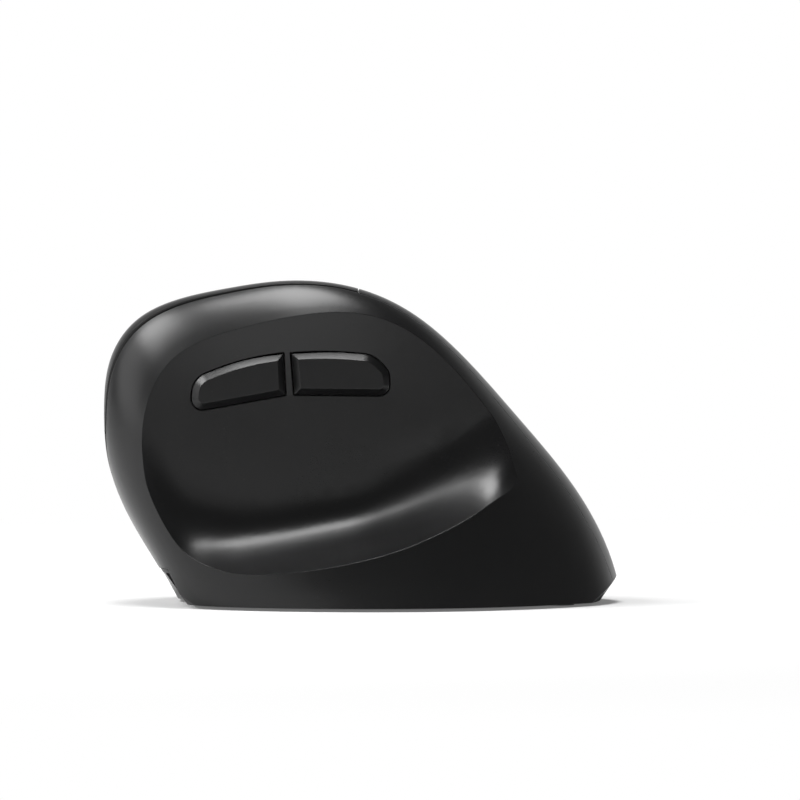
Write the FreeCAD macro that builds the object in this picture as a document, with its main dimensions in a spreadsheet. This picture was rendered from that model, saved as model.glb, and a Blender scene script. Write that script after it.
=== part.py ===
import FreeCAD, Part
import math
import os
import re
from FreeCAD import Placement, Rotation, Vector

# Upright (handshake) mouse for the right hand, in millimetres. The front points to -X, the
# thumb side to -Y, the finger side to +Y and up is +Z. The origin is the middle of the base
# outline, on the surface that the glide feet stand on.

os.makedirs("parts", exist_ok=True)
doc = FreeCAD.newDocument("upright_mouse")

# Driving dimensions. Lengths in mm, angles in degrees.
SIZES = (
    ("body_length", 120.0),
    ("body_width", 80.0),
    ("body_height", 75.5),
    ("wall", 2.0),
    ("thumb_roundness", 0.45),
    ("finger_roundness", 0.58),
    ("shell_gap", 0.1),
    ("seam_gap", 0.45),
    ("seam_slant", 0.12),
    ("glide_height", 0.7),
    ("glide_recess", 0.2),
    ("base_thickness", 2.2),
    ("heel_radius", 50.0),
    ("heel_undercut", 4.7),
    ("heel_lean", 35.0),
    ("parting_offset", 3.0),
    ("parting_lean", 8.53),
    ("panel_depth", 18.6),
    ("panel_top_lean", 2.0),
    ("panel_turn", 4.3),
    ("scoop_height", 17.0),
    ("finger_tilt", 60.0),
    ("split_share", 0.51),
    ("button_below", 30.5),
    ("button_low_slope", 0.35),
    ("press_angle", 0.65),
    ("hinge_setback", 6.0),
    ("hinge_height", 4.9),
    ("hinge_radius", 1.5),
    ("hinge_clearance", 0.06),
    ("barrel_wall", 1.3),
    ("wheel_share", 0.2167),
    ("wheel_radius", 10.5),
    ("wheel_width", 6.4),
    ("wheel_proud", 3.0),
    ("wheel_click", 0.5),
    ("tyre_depth", 2.4),
    ("tyre_grooves", 30.0),
    ("axle_radius", 1.5),
    ("axle_clearance", 0.05),
    ("cradle_wall", 1.4),
    ("cradle_end", 3.2),
    ("cradle_height", 2.5),
    ("strip_width", 7.2),
    ("axle_height", 7.205),
    ("frame_thickness", 2.0),
    ("standoff_height", 4.0),
    ("circuit_thickness", 1.6),
    ("upper_board_length", 46.0),
    ("upper_board_front", 15.0),
    ("hinge_behind_board", 5.0),
    ("upper_board_below", 20.5),
    ("upper_board_above", 12.5),
    ("switch_length", 12.8),
    ("switch_width", 5.8),
    ("switch_height", 6.5),
    ("plunger_height", 0.6),
    ("switch_gap", 0.6),
    ("tact_width", 6.0),
    ("tact_height", 3.4),
    ("tact_knob", 0.6),
    ("tact_knob_radius", 1.68),
    ("middle_switch_height", 2.2),
    ("side_travel", 0.6),
    ("side_proud", 2.0),
    ("side_chamfer", 1.5),
    ("side_gap", 0.3),
    ("side_flange", 0.7),
    ("side_flange_thickness", 1.4),
    ("dpi_length", 8.6),
    ("dpi_width", 3.6),
    ("dpi_proud", 0.8),
    ("dpi_gap", 0.35),
    ("dpi_travel", 0.5),
    ("main_board_length", 40.0),
    ("main_board_width", 20.0),
    ("main_board_level", 7.3),
    ("port_y", -14.2),
    ("port_bay_width", 15.6),
    ("port_bay_top", 8.9),
    ("port_bay_depth", 4.5),
    ("port_liner", 1.0),
    ("port_width", 8.94),
    ("port_height", 3.26),
    ("port_length", 7.3),
    ("battery_share", 0.26),
    ("battery_width", 26.0),
    ("battery_height", 6.0),
    ("receiver_body", 14.4),
    ("receiver_height", 6.1),
    ("receiver_length", 18.6),
    ("receiver_clearance", 0.3),
    ("bay_wall", 1.1),
    ("knob_length", 4.0),
    ("knob_width", 2.8),
    ("knob_travel", 3.0),
    ("knob_clearance", 0.3),
    ("screw_radius", 1.0),
    ("screw_length", 5.5),
    ("screw_head_radius", 2.0),
    ("screw_head_height", 1.1),
    ("boss_radius", 3.0),
    ("ribbon_width", 8.0),
    ("ribbon_thickness", 0.3),
    ("encoder_length", 11.0),
    ("encoder_width", 4.4),
    ("encoder_height", 7.6),
    ("encoder_bore", 2.4),
    ("encoder_clearance", 0.15),
    ("middle_switch_length", 3.2),
    ("middle_switch_width", 4.0),
    ("middle_knob", 0.5),
    ("middle_knob_radius", 1.0),
    ("plunger_length", 1.6),
    ("plunger_width", 2.4),
    ("sensor_width", 10.0),
    ("sensor_height", 2.0),
    ("controller_width", 6.0),
    ("controller_height", 0.9),
    ("lens_plate_length", 13.0),
    ("lens_plate_width", 10.0),
    ("lens_plate_thickness", 1.0),
    ("lens_radius", 2.5),
    ("lens_above", 1.2),
    ("lens_foot_length", 6.4),
    ("lens_foot_width", 5.4),
    ("lens_foot_depth", 1.3),
    ("knob_lift", 0.3),
    ("power_switch_grow", 2.0),
    ("power_switch_width", 4.6),
    ("power_switch_height", 3.4),
    ("plug_width", 12.0),
    ("plug_height", 4.5),
    ("plug_room_length", 8.0),
    ("plug_room_width", 11.0),
    ("plug_room_height", 1.7),
    ("connector_grow", 2.0),
    ("connector_depth", 3.0),
    ("connector_height", 1.7),
)

sheet = doc.addObject("Spreadsheet::Sheet", "Sizes")
for row, (alias, value) in enumerate(SIZES, 1):
    sheet.set("A%d" % row, str(value))
    sheet.setAlias("A%d" % row, alias)
doc.recompute()


class Named:
    """The sheet's values as plain numbers, one attribute for each alias."""


S = Named()
for alias, value in SIZES:
    setattr(S, alias, float(sheet.get(alias)))

WORLD = Placement()
FINGER = Placement(Vector(), Rotation(Vector(1, 0, 0), -S.finger_tilt))
BIG = 200.0
FAR = 90.0
DEEP = 10.0
BEYOND = 1.0
NEARLY = 0.01
PIECES = []


def keep(obj, label):
    """Makes obj one of the mouse's pieces, under its own name."""
    obj.Label = label
    PIECES.append(obj)
    return obj


def bind(obj, **sizes):
    """Binds properties of obj to formulas of the sheet's aliases."""
    for prop, formula in sizes.items():
        text = re.sub(r"[a-z][a-z_]{2,}", lambda found: "Sizes." + found.group(0), formula)
        obj.setExpression(prop, text)
    return obj


def at(frame, x, y, z, turn=None):
    return frame.multiply(Placement(Vector(x, y, z), turn or Rotation()))


def block(name, length, width, height, corner, frame=WORLD):
    """A box from its low corner; its three sizes are formulas of the sheet."""
    obj = bind(doc.addObject("Part::Box", name), Length=length, Width=width, Height=height)
    obj.Placement = at(frame, *corner)
    return obj


def rod(name, radius, height, foot, frame=WORLD):
    """A cylinder from the middle of its foot."""
    obj = bind(doc.addObject("Part::Cylinder", name), Radius=radius, Height=height)
    obj.Placement = at(frame, *foot)
    return obj


def given(name, shape):
    """A shape that Part's own functions made."""
    obj = doc.addObject("Part::Feature", name)
    obj.Shape = shape
    obj.Placement = shape.Placement
    return obj


def fuse(name, *parts):
    obj = doc.addObject("Part::MultiFuse", name)
    obj.Shapes = list(parts)
    return obj


def cut(name, base, *tools):
    tool = tools[0] if len(tools) == 1 else fuse(name + "_tools", *tools)
    obj = doc.addObject("Part::Cut", name)
    obj.Base = base
    obj.Tool = tool
    return obj


# Body envelope. Each cross section is two conics that meet on the ridge, the crown line of
# the side silhouette. The ridge and the two foot outlines are given as shares of the body's
# length, width and height, from the middle of the base.
FOOT_LEVEL = -6.0
STATIONS = 22
RIDGE = (
    (-0.308, -0.0875, -0.066), (-0.391, -0.0875, 0.118), (-0.463, -0.0825, 0.309),
    (-0.4945, -0.075, 0.464), (-0.4992, -0.075, 0.623), (-0.4775, -0.0875, 0.795),
    (-0.421, -0.1075, 0.895), (-0.300, -0.1275, 0.963), (-0.133, -0.140, 1.000),
    (-0.0225, -0.1375, 0.982), (0.075, -0.125, 0.922), (0.183, -0.0975, 0.788),
    (0.300, -0.050, 0.583), (0.420, 0.0, 0.344), (0.486, 0.031, 0.139), (0.511, 0.044, -0.066),
)
THUMB_FOOT = (
    (-0.308, -0.1375), (-0.325, -0.2125), (-0.2875, -0.3125), (-0.2125, -0.406), (-0.100, -0.475),
    (0.033, -0.5025), (0.175, -0.475), (0.308, -0.3875), (0.4165, -0.256), (0.4875, -0.1125),
    (0.511, 0.0),
)
FINGER_FOOT = (
    (-0.308, -0.0375), (-0.332, 0.075), (-0.3125, 0.2125), (-0.250, 0.356), (-0.150, 0.454),
    (-0.017, 0.5015), (0.133, 0.491), (0.275, 0.4275), (0.392, 0.325), (0.475, 0.200),
    (0.511, 0.0875),
)
STEPS = [index / (STATIONS - 1.0) for index in range(STATIONS)]


def smooth(points, steps=None):
    curve = Part.BSplineCurve()
    if steps:
        curve.interpolate(Points=points, Parameters=steps)
    else:
        curve.interpolate(points)
    return curve


def guide(points, inset, normal, middle):
    """A guide line through points, moved towards the middle by inset, at even stations."""
    line = smooth(points)
    stations = []
    for index, point in enumerate(line.toShape().discretize(Number=STATIONS)):
        along = line.tangent(line.parameter(point))[0]
        if index in (0, STATIONS - 1):
            inward = Vector(1, 0, 0)
        else:
            inward = normal.cross(along)
        inward.normalize()
        if inward.dot(middle - point) < 0:
            inward = inward * -1
        stations.append(point + inward * inset)
    return smooth(stations, STEPS)


def conic_side(foot, ridge, weight):
    """The surface of the conics from one foot outline up to the ridge."""
    rows = []
    for low, high in zip(foot.getPoles(), ridge.getPoles()):
        rows.append([low, Vector(high.x, low.y, high.z), high])
    side = Part.BSplineSurface()
    side.buildFromPolesMultsKnots(
        rows, ridge.getMultiplicities(), [3, 3], ridge.getKnots(), [0.0, 1.0],
        False, False, 3, 2, [[1.0, weight, 1.0]] * len(rows))
    return side.toShape()


def on_foot(point):
    return abs(point.z - FOOT_LEVEL) < 0.01


def rim(face, wanted):
    """The edge of a conic side that is its foot, or its front or rear end."""
    for edge in face.Edges:
        ends = [on_foot(vertex.Point) for vertex in (edge.Vertexes[0], edge.Vertexes[-1])]
        if all(ends):
            found = "foot"
        elif any(ends):
            found = "front" if edge.CenterOfMass.x < 0 else "rear"
        else:
            found = "ridge"
        if found == wanted:
            return edge
    raise ValueError(wanted)


def envelope(inset):
    """The closed body form, with every guide line moved inwards by inset."""
    length, width, height = S.body_length, S.body_width, S.body_height
    crown = [Vector(x * length, y * width, z * height) for x, y, z in RIDGE]
    feet = []
    for outline in (THUMB_FOOT, FINGER_FOOT):
        feet.append([Vector(x * length, y * width, FOOT_LEVEL) for x, y in outline])
    ridge = guide(crown, inset, Vector(0, 1, 0), Vector(0.04 * length, 0, 0.33 * height))
    sides = []
    for points, weight in zip(feet, (S.thumb_roundness, S.finger_roundness)):
        foot = guide(points, inset, Vector(0, 0, 1), Vector(0.07 * length, 0, FOOT_LEVEL))
        sides.append(conic_side(foot, ridge, weight))
    faces = list(sides)
    floor = [rim(side, "foot") for side in sides]
    for end in ("front", "rear"):
        edges = [rim(side, end) for side in sides]
        low = [v.Point for edge in edges for v in edge.Vertexes if on_foot(v.Point)]
        line = Part.makeLine(low[0], low[1])
        floor.append(line)
        faces.append(Part.Face(Part.Wire(Part.__sortEdges__(edges + [line]))))
    faces.append(Part.Face(Part.Wire(Part.__sortEdges__(floor))))
    shell = Part.makeShell(faces)
    shell.sewShape()
    solid = Part.Solid(shell)
    if solid.Volume < 0:
        solid.reverse()
    return solid


def heel(inset):
    """The cone that undercuts the heel behind the base."""
    low = -10.0
    high = BIG
    lean = math.tan(math.radians(S.heel_lean))
    narrow = S.heel_radius - inset + low * lean
    wide = S.heel_radius - inset + high * lean
    centre = S.body_length / 2 - S.heel_undercut - S.heel_radius
    return Part.makeCone(narrow, wide, high - low, Vector(centre, 0, low))


def slab(low, high):
    return Part.makeBox(2 * BIG, 2 * BIG, high - low, Vector(-BIG, -BIG, low))


def reach(solid, start, end):
    """The part of the line from start to end that lies in solid."""
    return solid.common(Part.makeLine(start, end)).BoundBox


base_low = S.glide_height
base_top = base_low + S.base_thickness
body_form = envelope(0.0).common(slab(base_low, BIG)).common(heel(0.0))

# Thumb scoop. Its lip runs from the front of the side up over the heel, as shares of the
# length and height. Above the lip the floor of the scoop climbs to a steep panel that holds
# the side buttons; the panel's top leans out a little to meet the rounded rim in a crease.
LIP = (
    (-0.625, 0.503), (-0.467, 0.477), (-0.4217, 0.401), (-0.3833, 0.260), (-0.3483, 0.189),
    (-0.3233, 0.158), (-0.269, 0.121), (-0.200, 0.1105), (-0.101, 0.1245), (-0.002, 0.153),
    (0.0975, 0.200), (0.172, 0.252), (0.233, 0.306), (0.292, 0.380), (0.350, 0.480),
    (0.433, 0.630), (0.517, 0.780),
)
SCOOP_ACROSS = 20
SCOOP_FRONT, SCOOP_STEP = -0.55, 0.05
SCOOP_DROP, SCOOP_CURL = 3, 0.1
SCOOP_UP = (-0.94, -0.47, 0.0, 0.235, 0.47, 0.706, 1.0, 1.41, 2.0, 2.7, 3.5, 4.35)
PANEL_MIDDLE = -0.125 * S.body_length
BULGE_FOOT, BULGE_RISE = 0.6, 0.29
BULGE_MIDDLE, BULGE_REACH = -0.167, 0.217


def panel_at(x, z):
    """Where the panel is: it is turned a little towards the wrist and its top bulges out."""
    plane = -S.panel_depth - math.tan(math.radians(S.panel_turn)) * (PANEL_MIDDLE - x)
    up = max(0.0, (z / S.body_height - BULGE_FOOT) / BULGE_RISE)
    along = (x / S.body_length - BULGE_MIDDLE) / BULGE_REACH
    return plane - S.panel_top_lean * up ** 2 * math.exp(-along ** 2)


def scoop(inset):
    """Everything outside the scoop surface, which is moved into the body by inset."""
    length, height = S.body_length, S.body_height
    lip = smooth([Vector(x * length, 0, z * height) for x, z in LIP]).toShape()
    across = [(SCOOP_FRONT + index * SCOOP_STEP) * length for index in range(SCOOP_ACROSS)]
    grid = []
    for x in across:
        upright = Part.makeLine(Vector(x, 0, -BIG), Vector(x, 0, BIG))
        lip_z = lip.distToShape(upright)[1][0][0].z
        span = reach(body_form, Vector(x, -BIG, lip_z), Vector(x, BIG, lip_z))
        depth = max(0.0, panel_at(x, lip_z) - span.YMin) if span.isValid() else 0.0
        tall = S.scoop_height + max(0.0, x) / 4
        line = []
        for share in SCOOP_UP:
            rise = min(share, 1.0) * S.scoop_height
            if share > 1:
                above = S.body_height - lip_z - S.scoop_height
                rise += above * (share - 1) / (SCOOP_UP[-1] - 1)
            left = 1 - rise / tall
            if rise < 0:
                out = depth * (1 - SCOOP_DROP * rise / tall) + SCOOP_CURL * rise ** 2
            else:
                out = depth * max(0.0, left) ** SCOOP_DROP
            z = lip_z + rise
            line.append(Vector(x, panel_at(x, z) - out, z))
        grid.append(line)
    if inset:
        grid = moved_inwards(grid, inset)
    return skin_surface(grid, across, SCOOP_UP).toShape().extrude(Vector(0, -FAR, 0))


def moved_inwards(grid, inset):
    """Moves each point of a grid along the surface's own normal, towards +Y."""
    last_row, last = len(grid) - 1, len(grid[0]) - 1
    moved = []
    for i, line in enumerate(grid):
        moved.append([])
        for j, point in enumerate(line):
            across = grid[min(i + 1, last_row)][j] - grid[max(i - 1, 0)][j]
            up = line[min(j + 1, last)] - line[max(j - 1, 0)]
            normal = across.cross(up)
            normal.normalize()
            if normal.y < 0:
                normal = normal * -1
            moved[-1].append(point + normal * inset)
    return moved


def skin_surface(grid, across, up):
    """The smooth surface through a grid of points."""
    lines = [smooth(line, list(up)) for line in grid]
    columns = []
    for index in range(lines[0].NbPoles):
        columns.append(smooth([line.getPole(index + 1) for line in lines], across))
    poles = []
    for index in range(columns[0].NbPoles):
        poles.append([column.getPole(index + 1) for column in columns])
    surface = Part.BSplineSurface()
    surface.buildFromPolesMultsKnots(
        poles, columns[0].getMultiplicities(), lines[0].getMultiplicities(),
        columns[0].getKnots(), lines[0].getKnots(), False, False, 3, 3)
    return surface


def hollow(inset):
    """The room inside a wall of the given thickness."""
    return envelope(inset).common(heel(inset)).cut(scoop(inset))


outer = body_form.cut(scoop(0.0))
inner = hollow(S.wall)
half_wall = hollow(S.wall / 2)
skin = outer.cut(inner)

# The parting plane between the thumb shell and the finger side leans with the ridge.


def thumb_side(gap):
    side = Part.makeBox(2 * BIG, BIG, 2 * BIG, Vector(-BIG, gap - BIG, -BIG))
    side.rotate(Vector(), Vector(1, 0, 0), S.parting_lean)
    side.translate(Vector(0, -S.parting_offset, 0))
    return side


def finger_point(x, up, out):
    """A point given along the mouse, up across the fingers and out through the finger side."""
    return FINGER.multVec(Vector(x, -up, out))


def prism(points, low=0.0, high=100.0, radii=None):
    """A prism square to the finger side, over an outline in (x, up across the fingers)."""
    face = Part.Face(outline([(x, -up) for x, up in points], radii))
    solid = face.extrude(Vector(0, 0, high - low))
    solid.Placement = at(FINGER, 0, 0, low)
    return solid


def outline(points, radii=None):
    """A closed wire through the corner points, each corner rounded by its radius."""
    corners = [Vector(x, y, 0) for x, y in points]
    count = len(corners)
    radii = radii or [0.0] * count
    edges = []
    starts = []
    ends = []
    for index, corner in enumerate(corners):
        before = corners[index - 1] - corner
        after = corners[(index + 1) % count] - corner
        before.normalize()
        after.normalize()
        radius = radii[index]
        if radius:
            half = before.getAngle(after) / 2
            back = radius / math.tan(half)
            middle = before + after
            middle.normalize()
            centre = corner + middle * (radius / math.sin(half))
            start = corner + before * back
            end = corner + after * back
            edges.append(Part.Arc(start, centre - middle * radius, end).toShape())
        else:
            start = end = corner
        starts.append(start)
        ends.append(end)
    for index in range(count):
        following = starts[(index + 1) % count]
        if (ends[index] - following).Length > 1e-6:
            edges.append(Part.makeLine(ends[index], following))
    return Part.Wire(Part.__sortEdges__(edges))


def rectangle(low_x, high_x, low_y, high_y):
    return [(low_x, low_y), (high_x, low_y), (high_x, high_y), (low_x, high_y)]


def low_seam(x):
    return split_up - S.button_below + S.button_low_slope * (button_rear - x)


def window(gap):
    """The opening of the finger side that the two main buttons and the strip fill. Its rear
    edge slants, so that the seam can't be looked through where it crosses the crown."""
    front = front_end - S.button_below
    rear = button_rear - gap
    low = rear - S.seam_slant * S.button_below
    high = rear + S.seam_slant * (FAR - split_up)
    corners = [(front, low_seam(front) + gap), (low, low_seam(low) + gap), (high, FAR), (front, FAR)]
    return prism(corners, radii=[0.0, window_corner, 0.0, 0.0])


# Places along the mouse from its front, and up across the fingers. The main buttons part on
# the split, and the wheel and the upper board lie around it.
front_end = -S.body_length / 2
wheel_x = front_end + S.wheel_share * S.body_length
upper_front = wheel_x - S.upper_board_front
upper_rear = upper_front + S.upper_board_length
hinge_x = upper_rear + S.hinge_behind_board
button_rear = hinge_x - S.hinge_setback
split_up = S.split_share * S.body_height
window_corner = 6.0
upper_low = split_up - S.upper_board_below
upper_high = split_up + S.upper_board_above


def skin_out(x, up):
    """How far out the finger side's surface is at a place given on it."""
    line = Part.makeLine(finger_point(x, up, DEEP), finger_point(x, up, FAR))
    ends = [FINGER.inverse().multVec(v.Point).z for v in body_form.common(line).Vertexes]
    return max(ends)


# Levels out through the finger side, from the wheel's axle down to the frame's deck.
wheel_out = skin_out(wheel_x, split_up) + S.wheel_proud - S.wheel_radius
board_face = wheel_out - S.axle_height
board_under = board_face - S.circuit_thickness
frame_top = board_under - S.standoff_height
frame_level = frame_top - S.frame_thickness
hinge_level = board_face + S.hinge_height

half_strip = S.strip_width / 2
wheel_slot_half = S.wheel_radius - 0.3
wheel_slot_side = S.wheel_width / 2 + 0.9
wheel_slot_corner = 2.0
wheel_slot = prism(rectangle(wheel_x - wheel_slot_half, wheel_x + wheel_slot_half,
                             split_up - wheel_slot_side, split_up + wheel_slot_side),
                   radii=[wheel_slot_corner] * 4)
strip_front = wheel_x + wheel_slot_half - 1.0
strip_tongue = 3.0


def strip_zone(gap):
    return prism(rectangle(strip_front - strip_tongue, button_rear - S.seam_gap + 2 * gap,
                           split_up - half_strip - gap, split_up + half_strip + gap))


hinge_foot = finger_point(hinge_x, 0, hinge_level)
hinge_line = FINGER.Rotation.multVec(Vector(0, -1, 0))


def pressed_back(shape):
    """A shape turned as it would meet the button, were the button pressed down to its stop."""
    turned = shape.copy()
    turned.rotate(hinge_foot, hinge_line, -S.press_angle)
    return turned


clear_side = thumb_side(S.seam_gap)
keep_out = clear_side.fuse(pressed_back(clear_side))
button_skin = skin.common(window(S.seam_gap)).cut(keep_out).cut(wheel_slot).cut(strip_zone(S.seam_gap))
above_split = prism(rectangle(-BIG, BIG, split_up + S.seam_gap / 2, BIG))
below_split = prism(rectangle(-BIG, BIG, -BIG, split_up - S.seam_gap / 2))

# Places that several pieces share. The nose is the front of the body at the charging port.
port_middle = S.main_board_level - S.port_height / 2
nose = reach(body_form, Vector(-BIG, S.port_y, port_middle), Vector(0, S.port_y, port_middle)).XMin
bay_face = nose + S.port_bay_depth
bay_wall_back = 1.6
board_play = 0.4
bay_back = bay_face + bay_wall_back
board_front = bay_back + board_play
board_y = S.port_y - S.main_board_width / 2
board_rear = board_front + S.main_board_length
cheek_setback = 7.4
cheek_play = 1.2
cheek_front = board_front + cheek_setback
cheek_rear = board_rear + cheek_play
cheek_thickness = 2.0
cheek_screw_y = 8.5
screw_depth = S.screw_length - 0.5
plunger_top = board_face + S.switch_height + S.plunger_height
foot_block = 3.2
SCREW_PLACES = (
    (-0.1 * S.body_length, -0.375 * S.body_width), (0.346 * S.body_length, -0.225 * S.body_width),
    (-0.167 * S.body_length, 0.394 * S.body_width), (0.346 * S.body_length, 0.2375 * S.body_width),
    (cheek_front + cheek_thickness / 2, cheek_screw_y), (cheek_rear + cheek_thickness / 2, cheek_screw_y),
)


def pin_shape(radius, low, high, x, y):
    return Part.makeCylinder(radius, high - low, Vector(x, y, low))


def boss(x, y):
    """A screw boss from the base plate up to the shell above it, with its screw hole."""
    post = pin_shape(S.boss_radius, base_top, BIG, x, y).common(half_wall)
    return post.cut(pin_shape(S.screw_radius, -BEYOND, base_top + screw_depth, x, y))


# Side buttons' outlines on the panel: each corner's place behind side_front and above
# side_level, with its radius.
side_lead = 6.0
side_front = wheel_x - side_lead
side_level = 0.7 * S.body_height


def on_panel(corners):
    return [(side_front + x, side_level + z, radius) for x, z, radius in corners]


FORWARD_OUTLINE = on_panel((
    (0.4, -7.55, 2.6), (22.4, -3.65, 0.0), (21.9, 5.95, 0.0), (12.5, 4.65, 55.0), (1.1, 0.15, 5.0),
))
BACK_OUTLINE = on_panel((
    (24.5, -3.55, 0.0), (46.6, -3.85, 2.4), (46.4, 1.75, 4.0), (42.8, 5.45, 6.0), (33.0, 6.45, 80.0),
    (23.7, 5.95, 0.0),
))
SIDE = Placement(Vector(), Rotation(Vector(0, 0, 1), S.panel_turn), Vector(PANEL_MIDDLE, -S.panel_depth, 0))
SIDE = SIDE.multiply(Placement(Vector(), Rotation(Vector(1, 0, 0), 90)))
flange_play = 0.3
flange_back = S.panel_depth - S.wall - flange_play - S.side_flange_thickness


def side_wire(corners, grow=0.0):
    wire = outline([(x, z) for x, z, radius in corners], [radius for x, z, radius in corners])
    return wire.makeOffset2D(grow) if grow else wire


def side_prism(corners, grow, low, high):
    solid = Part.Face(side_wire(corners, grow)).extrude(Vector(0, 0, high - low))
    solid.Placement = at(SIDE, 0, 0, low)
    return solid


# Thumb shell: moulded shell with the scoop, its screw bosses and the side board's bosses.
SIDE_BOARD_LOW = side_level - 6.35
SIDE_BOARD_HIGH = side_level + 6.65
side_rest = 0.1
side_boss_radius, side_boss_length, side_hole_depth = 2.2, 30.0, 4.0
behind_wall = 3.0
side_face = flange_back - S.side_travel - side_rest - S.tact_knob - S.tact_height
side_back = side_face - S.circuit_thickness
SIDE_BOSSES = ((side_front - 2.5, side_level - 0.85), (side_front + 50.0, side_level + 1.15))


def side_boss(x, z):
    post = Part.makeCylinder(side_boss_radius, side_boss_length)
    post.Placement = at(SIDE, x, z, side_face)
    hole = Part.makeCylinder(S.screw_radius, side_hole_depth)
    hole.Placement = at(SIDE, x, z, side_face)
    return post.common(half_wall).cut(hole)


notch_side = S.port_bay_width / 2 + S.shell_gap
notch = Part.makeBox(BIG, 2 * notch_side, S.port_bay_top + S.shell_gap,
                     Vector(bay_back + S.shell_gap - BIG, S.port_y - notch_side, 0))
thumb_shape = skin.common(thumb_side(0.0))
for x, y in SCREW_PLACES[:2]:
    thumb_shape = thumb_shape.fuse(boss(x, y).common(thumb_side(0.0)))
for x, z in SIDE_BOSSES:
    thumb_shape = thumb_shape.fuse(side_boss(x, z))
thumb_shape = thumb_shape.cut(notch)
for corners in (FORWARD_OUTLINE, BACK_OUTLINE):
    thumb_shape = thumb_shape.cut(side_prism(corners, S.side_gap, S.panel_depth - S.wall - behind_wall, BIG))
keep(given("ThumbShell", thumb_shape), "thumb_shell")

# Palm shell: the rear and lower finger side, around the window of the main buttons.
boss_room = 1.0
palm_shape = skin.cut(thumb_side(S.shell_gap)).cut(window(0.0))
for x, y in SCREW_PLACES[2:4]:
    palm_shape = palm_shape.fuse(boss(x, y).cut(thumb_side(S.shell_gap)).cut(window(-boss_room)))
keep(given("PalmShell", palm_shape), "palm_shell")

# Main buttons: skins that swing about the hinge shaft. Each has a post over its switch, a
# web down from the skin, an arm back to the shaft and a barrel around it.
plunger_x = wheel_x - 4.0
post_half = 1.5
web_front, web_rear = 10, 3
arm_front, arm_height, arm_rise = 8, 3.0, 0.4
barrel_radius = S.hinge_radius + S.barrel_wall


def finger_box(low_x, high_x, low_up, high_up, low, high):
    return prism(rectangle(low_x, high_x, low_up, high_up), low, high)


def finger_rod(radius, low_up, high_up, x, out):
    """A cylinder across the fingers."""
    solid = Part.makeCylinder(radius, high_up - low_up)
    solid.Placement = at(FINGER, x, -low_up, out, Rotation(Vector(1, 0, 0), 90))
    return solid


def main_button(name, region, post_up, barrel_low, barrel_high, low, high):
    shape = button_skin.common(region)
    arm_low = hinge_level - barrel_radius + arm_rise
    web = finger_box(button_rear - web_front, button_rear - web_rear, low, high, arm_low, FAR)
    post = finger_box(plunger_x - post_half, plunger_x + post_half, post_up - post_half,
                      post_up + post_half, plunger_top + S.switch_gap, FAR)
    arm = finger_box(button_rear - arm_front, hinge_x, low, high, arm_low, arm_low + arm_height)
    barrel = finger_rod(barrel_radius, barrel_low, barrel_high, hinge_x, hinge_level)
    shape = shape.fuse([web.common(half_wall), post.common(half_wall), arm, barrel])
    bore = finger_rod(S.hinge_radius + S.hinge_clearance, 0.0, FAR, hinge_x, hinge_level)
    keep(given(name, shape.cut(bore)), name)


barrel_gap = 0.4
upright_half = 1.2
beside_strip = half_strip + S.seam_gap + 0.5
left_post = split_up + 9.0
right_post = split_up - 13.0
UPRIGHTS = (upper_low - 0.6, split_up + 0.7, upper_high - 1.6)
spacing = upright_half + barrel_gap
barrel_edge = 0.6
main_button("left_button", above_split, left_post, UPRIGHTS[1] + spacing, UPRIGHTS[2] - spacing,
            split_up + beside_strip, UPRIGHTS[2] - spacing - barrel_edge)
main_button("right_button", below_split, right_post, UPRIGHTS[0] + spacing, UPRIGHTS[1] - spacing,
            UPRIGHTS[0] + spacing + barrel_edge, split_up - beside_strip)

# Centre strip: fixed cover between the main buttons behind the wheel, on two legs.
dpi_x = button_rear - 8.0
light_x = wheel_x + 13.0
light_radius, light_length, light_below = 0.9, 4.0, 3.5
leg_length, leg_half = 1.5, 2.4
strip_shape = skin.cut(clear_side).common(strip_zone(0.0)).cut(wheel_slot).common(window(S.seam_gap))
for x in (dpi_x - 7.0, dpi_x + 5.5):
    leg = finger_box(x, x + leg_length, split_up - leg_half, split_up + leg_half, board_face, FAR)
    strip_shape = strip_shape.fuse(leg.common(half_wall))
dpi_half = S.dpi_length / 2
pill_end = S.dpi_width / 2


def pill(grow, low, high):
    """A rounded-end prism around the resolution button's axis."""
    corners = rectangle(dpi_x - dpi_half - grow, dpi_x + dpi_half + grow,
                        split_up - pill_end - grow, split_up + pill_end + grow)
    return prism(corners, low, high, [pill_end + grow - NEARLY] * 4)


strip_shape = strip_shape.cut(pill(S.dpi_gap, board_face, FAR))
light_skin = skin_out(light_x, split_up)
light_hole = Part.makeCylinder(light_radius, light_length)
light_hole.Placement = at(FINGER, light_x, -split_up, light_skin - light_below)
strip_shape = strip_shape.cut(light_hole)
keep(given("CentreStrip", strip_shape), "centre_strip")
keep(given("StatusLight", light_hole.common(body_form)), "status_light")

# Resolution button: a pill cap with a flange under the strip and a stem over its switch.
dpi_skin = skin_out(dpi_x, split_up)
cap_length, cap_edge = 3.4, 0.4
flange_grow, flange_thickness, flange_play_up = 0.9, 0.8, 0.6
stem_radius, stem_play = 1.5, 0.2
cap = pill(0.0, dpi_skin - cap_length, dpi_skin + S.dpi_proud)
top_edges = [e for e in cap.Edges if all(FINGER.inverse().multVec(v.Point).z > dpi_skin for v in e.Vertexes)]
cap = cap.makeChamfer(cap_edge, top_edges)
flange_top = dpi_skin - S.wall - flange_play_up
flange = pill(flange_grow, flange_top - flange_thickness, flange_top)
stem_foot = board_face + S.tact_height + S.tact_knob + S.dpi_travel + stem_play
stem = Part.makeCylinder(stem_radius, flange_top - stem_foot)
stem.Placement = at(FINGER, dpi_x, -split_up, stem_foot)
keep(given("ResolutionButton", cap.fuse([flange, stem])), "dpi_button")


# Pieces made as bodies: sketched outlines, padded, pocketed or revolved.


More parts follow.
